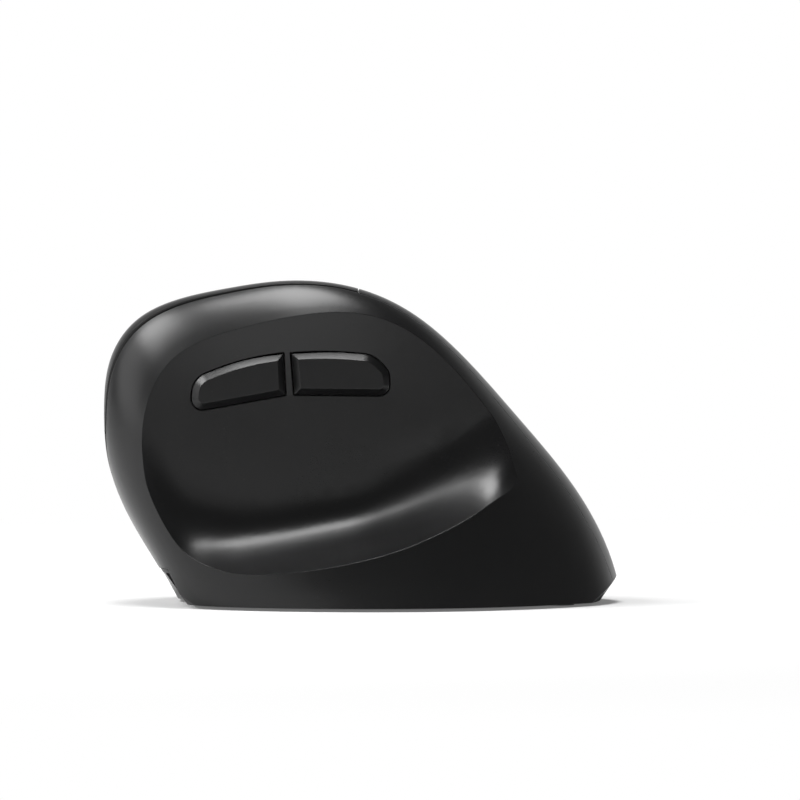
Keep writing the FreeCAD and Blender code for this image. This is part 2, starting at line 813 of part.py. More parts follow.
def body(name, frame=WORLD, x=0.0, y=0.0, z=0.0):
    obj = doc.addObject("PartDesign::Body", name)
    obj.Placement = at(frame, x, y, z)
    return obj


def sketch(owner, name, wire, plane="XY_Plane", level=None):
    """A sketch of a closed wire on one of the body's planes, raised to a level."""
    obj = owner.newObject("Sketcher::SketchObject", name)
    origin = [feature for feature in owner.Origin.OriginFeatures if feature.Role == plane][0]
    obj.AttachmentSupport = [(origin, "")]
    obj.MapMode = "FlatFace"
    if level:
        bind(obj, **{"AttachmentOffset.Base.z": level})
    for edge in wire.Edges:
        if isinstance(edge.Curve, Part.Circle):
            if len(edge.Vertexes) == 1:
                obj.addGeometry(edge.Curve)
            else:
                obj.addGeometry(Part.ArcOfCircle(edge.Curve, edge.FirstParameter, edge.LastParameter))
        else:
            obj.addGeometry(Part.LineSegment(edge.Vertexes[0].Point, edge.Vertexes[-1].Point))
    return obj


def pad(owner, profile, height):
    obj = owner.newObject("PartDesign::Pad", profile.Name + "_pad")
    obj.Profile = profile
    bind(obj, Length=height)
    doc.recompute()
    return obj


def pocket(owner, profile):
    """A pocket right through the body, both ways."""
    obj = owner.newObject("PartDesign::Pocket", profile.Name + "_pocket")
    obj.Profile = profile
    obj.Type = "ThroughAll"
    obj.Midplane = True
    doc.recompute()
    return obj


def revolve(owner, profile):
    obj = owner.newObject("PartDesign::Revolution", profile.Name + "_turn")
    obj.Profile = profile
    obj.ReferenceAxis = (profile, ["V_Axis"])
    obj.Angle = 360.0
    doc.recompute()
    return obj


def chamfer(owner, feature, level, size):
    """A chamfer round the face of a feature that lies at the given height in its body."""
    names = []
    for index, edge in enumerate(feature.Shape.Edges, 1):
        flat = edge.BoundBox.ZLength < 1e-4
        if flat and abs(edge.CenterOfMass.z - level) < 1e-4:
            names.append("Edge%d" % index)
    obj = owner.newObject("PartDesign::Chamfer", feature.Name + "_edge")
    obj.Base = (feature, names)
    bind(obj, Size=size)
    doc.recompute()
    return obj


def circle(x, y, radius):
    return Part.Wire(Part.makeCircle(radius, Vector(x, y, 0)))


def plate(name, label, wire, holes, height, frame, x, y, z):
    """A flat piece: an outline padded to its thickness, with holes right through."""
    owner = body(name, frame, x, y, z)
    pad(owner, sketch(owner, name + "_outline", wire), height)
    for index, hole in enumerate(holes):
        pocket(owner, sketch(owner, "%s_hole%d" % (name, index), hole))
    return keep(owner, label)


# Side buttons: chamfered caps with a flange that stays behind the panel.
for name, corners in (("forward_button", FORWARD_OUTLINE), ("back_button", BACK_OUTLINE)):
    owner = body(name, SIDE, 0, 0, flange_back)
    pad(owner, sketch(owner, name + "_flange", side_wire(corners, S.side_flange)), "side_flange_thickness")
    face = sketch(owner, name + "_face", side_wire(corners), level="side_flange_thickness")
    cap = pad(owner, face, "side_proud + wall + %s" % flange_play)
    cap_level = S.panel_depth + S.side_proud - flange_back
    chamfer(owner, cap, cap_level, "side_chamfer")
    keep(owner, name)

# Side board behind the panel, its two switches and its screws.
board_corner = 1.5
screw_hole = S.screw_radius + 0.1
side_board_end = 3
side_holes = [circle(x, z, screw_hole) for x, z in SIDE_BOSSES]
side_edge = rectangle(SIDE_BOSSES[0][0] - side_board_end, SIDE_BOSSES[1][0] + side_board_end,
                      SIDE_BOARD_LOW, SIDE_BOARD_HIGH)
plate("SideBoard", "side_board", outline(side_edge, [board_corner] * 4), side_holes, "circuit_thickness",
      SIDE, 0, 0, side_back)


def tact_switch(name, frame, x, y, level):
    """A push switch: a square case with a round knob on it."""
    half = S.tact_width / 2
    case = block(name + "_case", "tact_width", "tact_width", "tact_height",
                 (x - half, y - half, level), frame)
    knob = rod(name + "_knob", "tact_knob_radius", "tact_knob", (x, y, level + S.tact_height), frame)
    return keep(fuse(name, case, knob), name)


tact_switch("forward_switch", SIDE, side_front + 12.0, side_level - 0.05, side_face)
tact_switch("back_switch", SIDE, side_front + 35.0, side_level + 1.35, side_face)

CROSS_LENGTH = 2.6
CROSS_WIDTH = 0.5
CROSS_DEPTH = 0.5
CROSS_PROUD = 0.1


def screw(name, frame, x, y, head_under, turn=None, length="screw_length"):
    """A cross-headed screw whose head lies below its place and whose shank points up."""
    seat = at(frame, x, y, head_under, turn)
    head = rod(name + "_head", "screw_head_radius", "screw_head_height", (0, 0, -S.screw_head_height), seat)
    shank = rod(name + "_shank", "screw_radius", length, (0, 0, 0), seat)
    slots = []
    for index, size in enumerate(((CROSS_LENGTH, CROSS_WIDTH), (CROSS_WIDTH, CROSS_LENGTH))):
        slot = doc.addObject("Part::Box", "%s_slot%d" % (name, index))
        slot.Length, slot.Width, slot.Height = size[0], size[1], CROSS_DEPTH + CROSS_PROUD
        slot.Placement = at(seat, -size[0] / 2, -size[1] / 2, -S.screw_head_height - CROSS_PROUD)
        slots.append(slot)
    return cut(name, fuse(name + "_blank", head, shank), *slots)


def group(name, label, parts):
    obj = doc.addObject("Part::Compound", name)
    obj.Links = parts
    return keep(obj, label)


upside = Rotation(Vector(1, 0, 0), 180)
side_screws = []
for index, (x, z) in enumerate(SIDE_BOSSES):
    side_screws.append(screw("SideScrew%d" % index, SIDE, x, z, side_back, None, "circuit_thickness + 3.4"))
group("SideScrews", "side_screws", side_screws)

# Wheel: a grooved rubber tyre on a hub whose axle turns in the cradle's ears.
WHEEL = at(FINGER, wheel_x, -split_up, wheel_out, Rotation(Vector(1, 0, 0), 90))
half_wheel = S.wheel_width / 2
hub_radius = S.wheel_radius - S.tyre_depth
ear_play = 0.6
tyre_round = 1.2
groove_radius, groove_out = 0.5, 0.1
ear_inside = half_wheel + ear_play
ear_outside = ear_inside + S.cradle_wall
tyre = body("Tyre", WHEEL)
profile = outline(rectangle(hub_radius, S.wheel_radius, -half_wheel, half_wheel),
                  [0.0, tyre_round, tyre_round, 0.0])
revolve(tyre, sketch(tyre, "TyreProfile", profile, "XZ_Plane"))
groove = pocket(tyre, sketch(tyre, "TyreGroove", circle(S.wheel_radius + groove_out, 0, groove_radius)))
ring = tyre.newObject("PartDesign::PolarPattern", "TyreGrooves")
ring.Originals = [groove]
ring.Axis = (groove.Profile[0], ["N_Axis"])
ring.Angle = 360.0
bind(ring, Occurrences="tyre_grooves")
tyre.Tip = ring
keep(tyre, "wheel_tyre")

hub = body("Hub", WHEEL)
hub_play = 0.2
hub_rim = 1.6
boss_end = ear_inside - hub_play
boss_out = 2.6
web_half = 1.0
axle_low = -ear_outside - 2.0
rim_in = hub_radius - hub_rim
rim_half = half_wheel - 0.3
points = [(0, axle_low), (S.axle_radius, axle_low), (S.axle_radius, -boss_end), (boss_out, -boss_end),
          (boss_out, -web_half), (rim_in, -web_half), (rim_in, -rim_half), (hub_radius, -rim_half),
          (hub_radius, rim_half), (rim_in, rim_half), (rim_in, web_half), (boss_out, web_half),
          (boss_out, boss_end), (S.axle_radius, boss_end), (S.axle_radius, ear_outside), (0, ear_outside)]
revolve(hub, sketch(hub, "HubProfile", outline(points), "XZ_Plane"))
hub_window_edge = 0.5
hub_window_count = 5
hub_window = circle((rim_in + boss_out) / 2, 0, (rim_in - boss_out) / 2 - hub_window_edge)
windows = pocket(hub, sketch(hub, "HubWindow", hub_window))
ring = hub.newObject("PartDesign::PolarPattern", "HubWindows")
ring.Originals = [windows]
ring.Axis = (windows.Profile[0], ["N_Axis"])
ring.Angle = 360.0
ring.Occurrences = hub_window_count
hub.Tip = ring
keep(hub, "wheel_hub")

# Cradle: a frame around the wheel with two ears for the axle. It slides on two posts and
# presses the middle switch.
cradle_play = 0.2
wheel_room = 1.1
ear_half = 3.0
cradle_low = board_face + S.middle_switch_height + S.wheel_click + cradle_play
cradle_top = cradle_low + S.cradle_height
inside = S.wheel_radius + wheel_room
reach_x = inside + S.cradle_end
post_x = inside + S.cradle_end / 2
cradle_shape = finger_box(wheel_x - reach_x, wheel_x + reach_x, split_up - ear_outside,
                          split_up + ear_outside, cradle_low, cradle_top)
cradle_shape = cradle_shape.cut(finger_box(wheel_x - inside, wheel_x + inside, split_up - ear_inside,
                                           split_up + ear_inside, cradle_low, cradle_top))
for low in (-ear_outside, ear_inside):
    ear = finger_box(wheel_x - ear_half, wheel_x + ear_half, split_up + low,
                     split_up + low + S.cradle_wall, cradle_low, wheel_out)
    top = finger_rod(ear_half, split_up + low, split_up + low + S.cradle_wall, wheel_x, wheel_out)
    cradle_shape = cradle_shape.fuse([ear, top])
cradle_shape = cradle_shape.cut(finger_rod(S.axle_radius + S.axle_clearance, 0, FAR, wheel_x, wheel_out))
POSTS = ((wheel_x - post_x, split_up), (wheel_x + post_x, split_up + 2.8))
post_radius = 1.0
for x, up in POSTS:
    bore = Part.makeCylinder(post_radius + S.axle_clearance, BIG)
    bore.Placement = at(FINGER, x, -up, 0)
    cradle_shape = cradle_shape.cut(bore)
keep(given("Cradle", cradle_shape), "wheel_cradle")

# Encoder on the cradle's lower ear: it reads the end of the axle.
encoder = block("EncoderCase", "encoder_length", "encoder_width", "encoder_height",
                (wheel_x - S.encoder_length / 2, -split_up + ear_outside, cradle_low), FINGER)
encoder_bore = rod("EncoderBore", "axle_radius + encoder_clearance", "encoder_bore",
                   (0, 0, -ear_outside - S.encoder_bore), WHEEL)
keep(cut("Encoder", encoder, encoder_bore), "wheel_encoder")

middle_aside = 0.6
middle = block("MiddleCase", "middle_switch_length", "middle_switch_width",
               "middle_switch_height - middle_knob",
               (wheel_x + post_x - S.middle_switch_length / 2, -split_up + middle_aside, board_face), FINGER)
knob = rod("MiddleKnob", "middle_knob_radius", "middle_knob",
           (wheel_x + post_x, -split_up + middle_aside + S.middle_switch_width / 2,
            board_face + S.middle_switch_height - S.middle_knob), FINGER)
keep(fuse("MiddleSwitch", middle, knob), "middle_switch")
tact_switch("dpi_switch", FINGER, dpi_x, -split_up, board_face)

# Microswitches under the two main buttons.
plunger_setback = 3.2
for name, up in (("left_switch", left_post), ("right_switch", right_post)):
    case = block(name + "_case", "switch_length", "switch_width", "switch_height",
                 (plunger_x - plunger_setback, -up - S.switch_width / 2, board_face), FINGER)
    plunger = block(name + "_plunger", "plunger_length", "plunger_width", "plunger_height",
                    (plunger_x - S.plunger_length / 2, -up - S.plunger_width / 2,
                     board_face + S.switch_height), FINGER)
    keep(fuse(name, case, plunger), name)

# Inner frame: a sloping deck on two cheeks that stand on the base plate. It carries the
# button board on standoffs, the cradle's posts and the hinge's uprights.
frame_front = upper_front
frame_behind_hinge, deck_below = 6.0, 2.0
standoff_radius, standoff_inset = 2.2, 2.5
post_above = 1.0
upright_radius = 2.6
frame_rear = max(hinge_x + frame_behind_hinge, cheek_rear + cheek_thickness)
deck_low, deck_high = upper_low - deck_below, upper_high
frame_shape = finger_box(frame_front, frame_rear, deck_low, deck_high, frame_level, frame_top)
STANDOFFS = [(x, up) for up in (upper_low + standoff_inset, upper_high - standoff_inset)
             for x in (upper_front + standoff_inset, upper_rear - standoff_inset)]
solids = []
for x, up in STANDOFFS:
    standoff = Part.makeCylinder(standoff_radius, S.standoff_height)
    standoff.Placement = at(FINGER, x, -up, frame_top)
    solids.append(standoff)
for x, up in POSTS:
    post = Part.makeCylinder(post_radius, cradle_top + post_above - frame_top)
    post.Placement = at(FINGER, x, -up, frame_top)
    solids.append(post)
for up in UPRIGHTS:
    low, high = up - upright_half, up + upright_half
    solids.append(finger_box(hinge_x - upright_radius, hinge_x + upright_radius, low, high,
                             frame_top, hinge_level))
    solids.append(finger_rod(upright_radius, low, high, hinge_x, hinge_level))
deck_middle = frame_level + S.frame_thickness / 2
cheek_foot_low, cheek_foot_high = 2.5, 14.0
cheek_inset_low, cheek_inset_high = 0.5, 5
foot_roof = 1.5
for x in (cheek_front, cheek_rear):
    corners = [Vector(x, cheek_foot_low, base_top), Vector(x, cheek_foot_high, base_top),
               finger_point(x, deck_low + cheek_inset_low, deck_middle),
               finger_point(x, deck_high - cheek_inset_high, deck_middle)]
    cheek = Part.Face(Part.makePolygon(corners + corners[:1])).extrude(Vector(cheek_thickness, 0, 0))
    solids.append(cheek)
for x, y in SCREW_PLACES[4:]:
    solids.append(Part.makeBox(2 * foot_block, 2 * foot_block, screw_depth + foot_roof,
                               Vector(x - foot_block, y - foot_block, base_top)))
frame_shape = frame_shape.fuse(solids)
for x, y in SCREW_PLACES[4:]:
    frame_shape = frame_shape.cut(pin_shape(S.screw_radius, -BEYOND, base_top + screw_depth, x, y))
for x, up in STANDOFFS:
    hole = Part.makeCylinder(S.screw_radius, S.standoff_height + S.frame_thickness)
    hole.Placement = at(FINGER, x, -up, frame_level)
    frame_shape = frame_shape.cut(hole)
shaft_hole = finger_rod(S.hinge_radius, 0.0, FAR, hinge_x, hinge_level)
side_room_above, side_room_play = 20, 0.5
side_room = Part.makeBox(2 * BIG, BIG, BIG)
side_room.Placement = at(SIDE, -BIG, base_top + side_room_above,
                         side_back - S.screw_head_height - side_room_play)
frame_shape = frame_shape.cut([shaft_hole, side_room])
keep(given("InnerFrame", frame_shape), "inner_frame")
shaft_low = UPRIGHTS[0] - upright_half
shaft = bind(doc.addObject("Part::Cylinder", "HingeShaft"), Radius="hinge_radius")
shaft.Height = UPRIGHTS[2] + upright_half - shaft_low
shaft.Placement = at(FINGER, hinge_x, -shaft_low, hinge_level, Rotation(Vector(1, 0, 0), 90))
keep(shaft, "hinge_shaft")

# Button board on the standoffs, open under the wheel.
post_play = 0.3
slot_inset, slot_aside, slot_corner = 0.6, 0.8, 1.0
edge = rectangle(0, S.upper_board_length, -upper_high, -upper_low)
holes = [circle(x - upper_front, -up, screw_hole) for x, up in STANDOFFS]
holes += [circle(x - upper_front, -up, post_radius + post_play) for x, up in POSTS]
slot = rectangle(wheel_x - inside + slot_inset - upper_front, wheel_x + inside - slot_inset - upper_front,
                 -split_up - half_wheel - slot_aside, -split_up + half_wheel + slot_aside)
holes.append(outline(slot, [slot_corner] * 4))
plate("ButtonBoard", "button_board", outline(edge, [board_corner] * 4), holes, "circuit_thickness",
      FINGER, upper_front, 0, board_under)
board_screws = []
for index, (x, up) in enumerate(STANDOFFS):
    board_screws.append(screw("BoardScrew%d" % index, FINGER, x, -up, board_face, upside,
                              "circuit_thickness + standoff_height"))
group("BoardScrews", "board_screws", board_screws)

# Main board on the base plate's pegs, with the charging socket under its front edge.
sensor_setback = 25.6
peg_inset, front_peg_inset, peg_aside, peg_hole = 3.0, 9.0, 2.5, 0.95
aperture_length, aperture_width = 8.0, 7.0
controller_setback = 12
sensor_x = board_front + sensor_setback
sensor_y = board_y + S.main_board_width / 2
board_top = S.main_board_level + S.circuit_thickness
peg_high = board_y + S.main_board_width - peg_aside
PEGS = [(board_front + peg_inset, board_y + peg_aside), (board_rear - peg_inset, board_y + peg_aside),
        (board_front + front_peg_inset, peg_high), (board_rear - peg_inset, peg_high)]
edge = rectangle(0, S.main_board_length, 0, S.main_board_width)
holes = [circle(x - board_front, y - board_y, peg_hole) for x, y in PEGS]
aperture_x, aperture_y = sensor_x - board_front, sensor_y - board_y
aperture = rectangle(aperture_x - aperture_length / 2, aperture_x + aperture_length / 2,
                     aperture_y - aperture_width / 2, aperture_y + aperture_width / 2)
holes.append(outline(aperture))
plate("MainBoard", "main_board", outline(edge, [board_corner] * 4), holes, "circuit_thickness",
      WORLD, board_front, board_y, S.main_board_level)
keep(block("Sensor", "sensor_width", "sensor_width", "sensor_height",
           (sensor_x - S.sensor_width / 2, sensor_y - S.sensor_width / 2, board_top)), "motion_sensor")
keep(block("Controller", "controller_width", "controller_width", "controller_height",
           (board_front + controller_setback, sensor_y - S.controller_width / 2, board_top)),
     "controller_chip")
lens_plate = block("LensPlate", "lens_plate_length", "lens_plate_width", "lens_plate_thickness",
                   (sensor_x - S.lens_plate_length / 2, sensor_y - S.lens_plate_width / 2, base_top))
lens_stem = rod("LensStem", "lens_radius", "main_board_level + lens_above - glide_height - base_thickness",
                (sensor_x, sensor_y, base_top))
lens_foot = block("LensFoot", "lens_foot_length", "lens_foot_width", "lens_foot_depth",
                  (sensor_x - S.lens_foot_length / 2, sensor_y - S.lens_foot_width / 2,
                   base_top - S.lens_foot_depth))
keep(fuse("SensorLens", lens_plate, lens_stem, lens_foot), "sensor_lens")

# Charging socket and the black liner of its bay in the nose.
ALONG = Placement(Vector(), Rotation(Vector(0, 1, 0), 90))


def socket_wire(grow):
    half_w, half_h = S.port_width / 2 + grow, S.port_height / 2 + grow
    return outline(rectangle(-half_h, half_h, -half_w, half_w), [half_h - NEARLY] * 4)


socket_setback, socket_wall, socket_end = 0.5, 0.35, 1.0
tongue_thickness, tongue_width, tongue_start = 0.7, 6.6, 1.0
tongue_short = tongue_start + socket_end / 2
liner_setback = 0.3
mouth_play, mouth_length = 0.15, 20.0
socket_front = bay_face + socket_setback
tube = Part.Face(socket_wire(0.0)).extrude(Vector(0, 0, S.port_length))
bore = Part.Face(socket_wire(-socket_wall)).extrude(Vector(0, 0, S.port_length - socket_end))
tongue = Part.makeBox(tongue_thickness, tongue_width, S.port_length - tongue_short,
                      Vector(-tongue_thickness / 2, -tongue_width / 2, tongue_start))
socket = tube.cut(bore).fuse(tongue)
socket.Placement = at(WORLD, socket_front, S.port_y, port_middle, ALONG.Rotation)
keep(given("UsbSocket", socket), "usb_socket")
half_bay = S.port_bay_width / 2
liner = Part.makeBox(BIG, S.port_bay_width, S.port_bay_top - base_top,
                     Vector(bay_back - BIG, S.port_y - half_bay, base_top))
liner_body = body_form.copy()
liner_body.translate(Vector(liner_setback, 0, 0))
liner = liner.common(liner_body)
liner = liner.cut(Part.makeBox(BIG, S.port_bay_width - 2 * S.port_liner, BIG,
                               Vector(bay_face - BIG, S.port_y - half_bay + S.port_liner,
                                      S.port_bay_top - S.port_liner - BIG)))
mouth = Part.Face(socket_wire(mouth_play)).extrude(Vector(0, 0, mouth_length))
mouth.Placement = at(WORLD, bay_face - mouth_length / 2, S.port_y, port_middle, ALONG.Rotation)
keep(given("PortBezel", liner.cut(mouth)), "port_bezel")

# Battery between two rails of the base plate.
battery_setback = 6.2
battery_front = board_rear + battery_setback
battery_y = -14.5
keep(block("Battery", "battery_share * body_length", "battery_width", "battery_height",
           (battery_front, battery_y, base_top)), "battery")

# Power switch on the base plate and its sliding knob in the base's slot.
knob_setback, knob_y = 17.0, 18.0
knob_corner = 0.5
groove_first, groove_width, groove_depth = -1.5, 0.5, 0.4
groove_run, groove_count = 2.4, 3
knob_x = board_front + knob_setback
knob_low = base_low + S.knob_lift
knob_body = body("PowerKnob", WORLD, knob_x, knob_y, knob_low)
edge = rectangle(-S.knob_length / 2, S.knob_length / 2, -S.knob_width / 2, S.knob_width / 2)
pad(knob_body, sketch(knob_body, "KnobOutline", outline(edge, [knob_corner] * 4)),
    "base_thickness - knob_lift - knob_clearance")
grip = sketch(knob_body, "KnobGrip", outline(rectangle(groove_first, groove_first + groove_width,
                                                       -S.knob_width, S.knob_width)))
grooves = knob_body.newObject("PartDesign::Pocket", "KnobGroove")
grooves.Profile = grip
grooves.Length = groove_depth
grooves.Reversed = True
doc.recompute()
row = knob_body.newObject("PartDesign::LinearPattern", "KnobGrooves")
row.Originals = [grooves]
row.Direction = (grip, ["H_Axis"])
row.Length = groove_run
row.Occurrences = groove_count
knob_body.Tip = row
keep(knob_body, "power_knob")
slot_low = knob_x - S.knob_length / 2 - S.knob_clearance
slot_length = S.knob_length + S.knob_travel + 2 * S.knob_clearance
slot_width = S.knob_width + 2 * S.knob_clearance
power_switch_length = S.knob_length + S.knob_travel + S.power_switch_grow
keep(block("PowerSwitch", "knob_length + knob_travel + power_switch_grow", "power_switch_width",
           "power_switch_height", (slot_low - (power_switch_length - slot_length) / 2,
                                   knob_y - S.power_switch_width / 2, base_top)), "power_switch")

# Wireless receiver stowed in its bay under the base: a body with its plug.
receiver_x, receiver_y = 0.077 * S.body_length, 0.1825 * S.body_width
receiver_lift, plug_lift, plug_wall = 0.3, 0.8, 0.3
receiver_low = base_low + receiver_lift
receiver_end = receiver_x + S.receiver_length
receiver_middle = receiver_y + S.receiver_body / 2
cap = block("ReceiverCap", "receiver_length - plug_width", "receiver_body", "receiver_height",
            (receiver_x, receiver_y, receiver_low))
plug = block("ReceiverPlug", "plug_width", "plug_width", "plug_height",
             (receiver_end - S.plug_width, receiver_middle - S.plug_width / 2, receiver_low + plug_lift))
plug_room = block("ReceiverPlugRoom", "plug_room_length", "plug_room_width", "plug_room_height",
                  (receiver_end - S.plug_room_length, receiver_middle - S.plug_room_width / 2,
                   receiver_low + plug_lift + plug_wall))
keep(cut("Receiver", fuse("ReceiverBlank", cap, plug), plug_room), "receiver")
bay_low_x, bay_high_x = receiver_x - S.receiver_clearance, receiver_end + S.receiver_clearance
bay_low_y = receiver_y - S.receiver_clearance
bay_high_y = receiver_y + S.receiver_body + S.receiver_clearance
bay_roof = receiver_low + S.receiver_height + S.receiver_clearance

# Base plate: floor of the mouse, with the board's pegs, the battery's rails and the bays.
base_play = 0.2
SINK = 0.5
peg_radius, peg_tip_radius, peg_proud = 2.0, 0.8, 0.5
rail_height, rail_thickness, rail_play = 3.0, 1.2, 0.2
rail_start, rail_short = 3, 11
base_shape = envelope(S.wall + base_play).common(heel(S.wall + base_play)).common(slab(base_low, base_top))
additions = []
for x, y in PEGS:
    additions.append(pin_shape(peg_radius, base_top - SINK, S.main_board_level, x, y))
    additions.append(pin_shape(peg_tip_radius, base_top - SINK, board_top + peg_proud, x, y))
for y in (battery_y - rail_play - rail_thickness, battery_y + S.battery_width + rail_play):
    additions.append(Part.makeBox(S.battery_share * S.body_length - rail_short, rail_thickness,
                                  rail_height + SINK, Vector(battery_front + rail_start, y, base_top - SINK)))
additions.append(Part.makeBox(bay_high_x - bay_low_x + 2 * S.bay_wall,
                              bay_high_y - bay_low_y + 2 * S.bay_wall,
                              bay_roof + S.bay_wall - base_low,
                              Vector(bay_low_x - S.bay_wall, bay_low_y - S.bay_wall, base_low)))
base_shape = base_shape.fuse(additions)
lens_hole_length, lens_hole_width = 7.0, 6.0
bay_floor = 0.8
removals = [Part.makeBox(bay_high_x - bay_low_x, bay_high_y - bay_low_y, bay_roof + BEYOND,
                         Vector(bay_low_x, bay_low_y, -BEYOND)),
            Part.makeBox(slot_length, slot_width, 2 * base_top,
                         Vector(slot_low, knob_y - slot_width / 2, -BEYOND)),
            Part.makeBox(lens_hole_length, lens_hole_width, 2 * base_top,
                         Vector(sensor_x - lens_hole_length / 2, sensor_y - lens_hole_width / 2, -BEYOND)),
            Part.makeBox(BIG, S.port_bay_width - 2 * S.port_liner, BIG,
                         Vector(bay_face - BIG, S.port_y - half_bay + S.port_liner, base_low + bay_floor))]
head_play, shank_play = 0.3, 0.2
head_room = S.screw_head_height + head_play
for x, y in SCREW_PLACES:
    removals.append(pin_shape(S.screw_radius + shank_play, -BEYOND, base_top + BEYOND, x, y))
    removals.append(pin_shape(S.screw_head_radius + head_play, -BEYOND, base_low + head_room, x, y))
glide_length, glide_width, glide_corner, glide_play = 9.0, 26.0, 3.5, 0.2
front_glide_setback = 9.82
FEET = (("front_glide", board_front + front_glide_setback, 0.075 * S.body_width),
        ("rear_glide", 0.375 * S.body_length, 0.0))
glide_low_x, glide_low_y = glide_length / 2 + glide_play, glide_width / 2 + glide_play
for name, x, y in FEET:
    removals.append(Part.makeBox(2 * glide_low_x, 2 * glide_low_y, BEYOND + S.glide_recess,
                                 Vector(x - glide_low_x, y - glide_low_y, base_low - BEYOND)))
keep(given("BasePlate", base_shape.cut(removals)), "base_plate")
for name, x, y in FEET:
    owner = body(name, WORLD, x, y, 0)
    edge = rectangle(-glide_length / 2, glide_length / 2, -glide_width / 2, glide_width / 2)
    profile = sketch(owner, name + "_outline", outline(edge, [glide_corner] * 4))
    pad(owner, profile, "glide_height + glide_recess")
    keep(owner, name)

case_screws = []
for index, (x, y) in enumerate(SCREW_PLACES):
    case_screws.append(screw("CaseScrew%d" % index, WORLD, x, y, base_low + head_room))
group("CaseScrews", "case_screws", case_screws)

# Ribbon from the main board up to the button board, with a connector at each end.
ribbon_setback, connector_inset, connector_rise = 13.0, 4.5, 2.0
ribbon_x = board_front + ribbon_setback
connector_x = ribbon_x - S.connector_grow / 2
connector_y = board_y + S.main_board_width - connector_inset
low_connector = block("LowConnector", "ribbon_width + connector_grow", "connector_depth",
                      "connector_height", (connector_x, connector_y, board_top))
connector_up = upper_low + connector_rise
high_connector = block("HighConnector", "ribbon_width + connector_grow", "connector_depth",
                       "connector_height", (connector_x, -connector_up - S.connector_depth,
                                            board_under - S.connector_height), FINGER)
group("RibbonConnectors", "ribbon_connectors", [low_connector, high_connector])
entry_high, entry_low, entry_run = 0.9, 0.8, 5.0
rise_beyond = 1.5
low_bend, high_bend = 4.0, 8.0
plug_out = board_under - entry_high
entry = finger_point(0, connector_up, plug_out)
turn_in = finger_point(0, connector_up - entry_run, plug_out)
start = Vector(0, connector_y + S.connector_depth, board_top + entry_low)
rise_y = turn_in.y + rise_beyond
corners = [start, Vector(0, rise_y, start.z), turn_in, entry]


def ribbon_side(shift):
    """The ribbon's middle line moved sideways in its own plane."""
    moved = []
    for index, corner in enumerate(corners):
        before = corner - corners[index - 1] if index else corners[1] - corner
        after = corners[index + 1] - corner if index + 1 < len(corners) else before
        before.normalize()
        after.normalize()
        across = Vector(0, -before.z - after.z, before.y + after.y)
        across.normalize()
        scale = shift / max(0.5, Vector(0, -before.z, before.y).dot(across))
        moved.append(corner + across * scale)
    return [(point.y, point.z) for point in moved]


half_ribbon = S.ribbon_thickness / 2
upper_line = ribbon_side(half_ribbon)
lower_line = ribbon_side(-half_ribbon)
bends = [0.0, low_bend, high_bend, 0.0]
inner_bends = [r - half_ribbon if r else 0.0 for r in bends]
outer_bends = [r + half_ribbon if r else 0.0 for r in bends]
wire = outline(upper_line + lower_line[::-1], inner_bends + outer_bends[::-1])
ribbon = Part.Face(wire).extrude(Vector(0, 0, S.ribbon_width))
ribbon.Placement = Placement(Vector(ribbon_x, 0, 0), Rotation(Vector(1, 1, 1), 120))
keep(given("RibbonCable", ribbon), "ribbon_cable")

doc.recompute()
for obj in doc.Objects:
    if "Invalid" in obj.State or "Error" in obj.State:
        raise RuntimeError("%s failed: %s" % (obj.Name, obj.State))
for obj in PIECES:
    shape = obj.Shape
    if shape.isNull() or not shape.isValid() or not shape.Solids:
        raise RuntimeError("%s has no sound shape" % obj.Label)
for obj in PIECES:
    obj.Shape.exportStep("parts/%s.step" % obj.Label)
print("%d pieces written" % len(PIECES))
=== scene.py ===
import math

import bmesh
import bpy
from mathutils import Matrix, Vector


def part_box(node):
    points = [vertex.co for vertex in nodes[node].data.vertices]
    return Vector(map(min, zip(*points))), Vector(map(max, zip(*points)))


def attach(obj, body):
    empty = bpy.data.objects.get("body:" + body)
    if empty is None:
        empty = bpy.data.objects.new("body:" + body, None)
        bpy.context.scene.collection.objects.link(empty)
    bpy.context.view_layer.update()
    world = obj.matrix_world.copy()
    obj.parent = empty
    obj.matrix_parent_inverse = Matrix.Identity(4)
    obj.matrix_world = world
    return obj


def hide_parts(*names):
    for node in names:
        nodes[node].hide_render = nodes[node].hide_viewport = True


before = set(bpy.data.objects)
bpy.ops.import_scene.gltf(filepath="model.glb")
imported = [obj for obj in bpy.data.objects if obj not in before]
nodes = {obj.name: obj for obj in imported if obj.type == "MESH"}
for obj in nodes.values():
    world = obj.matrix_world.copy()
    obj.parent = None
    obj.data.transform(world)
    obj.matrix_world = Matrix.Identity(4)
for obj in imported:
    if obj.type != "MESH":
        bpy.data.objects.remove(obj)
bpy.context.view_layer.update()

# Camera. The mouse is seen square to its thumb side, from far off and a little above the
# table, which is why its outline is almost free of perspective.
photo_width = 0.1864
lens_mm, sensor_mm = 400.0, 36.0
aim = Vector((0.00897, -0.005, 0.0475))
rise = math.radians(2.0)
distance = photo_width * lens_mm / sensor_mm
camera_data = bpy.data.cameras.new("camera")
camera_data.lens = lens_mm
camera_data.sensor_width = sensor_mm
camera = bpy.data.objects.new("camera", camera_data)
bpy.context.scene.collection.objects.link(camera)
camera.location = aim + distance * Vector((0, -math.cos(rise), math.sin(rise)))
camera.rotation_euler = (math.pi / 2 - rise, 0, 0)
bpy.context.scene.camera = camera
bpy.context.scene.view_settings.view_transform = "Standard"

# Table: a white sheet. Close to the mouse it takes the soft shadow, and further out it fades
# into the white that fills the view.


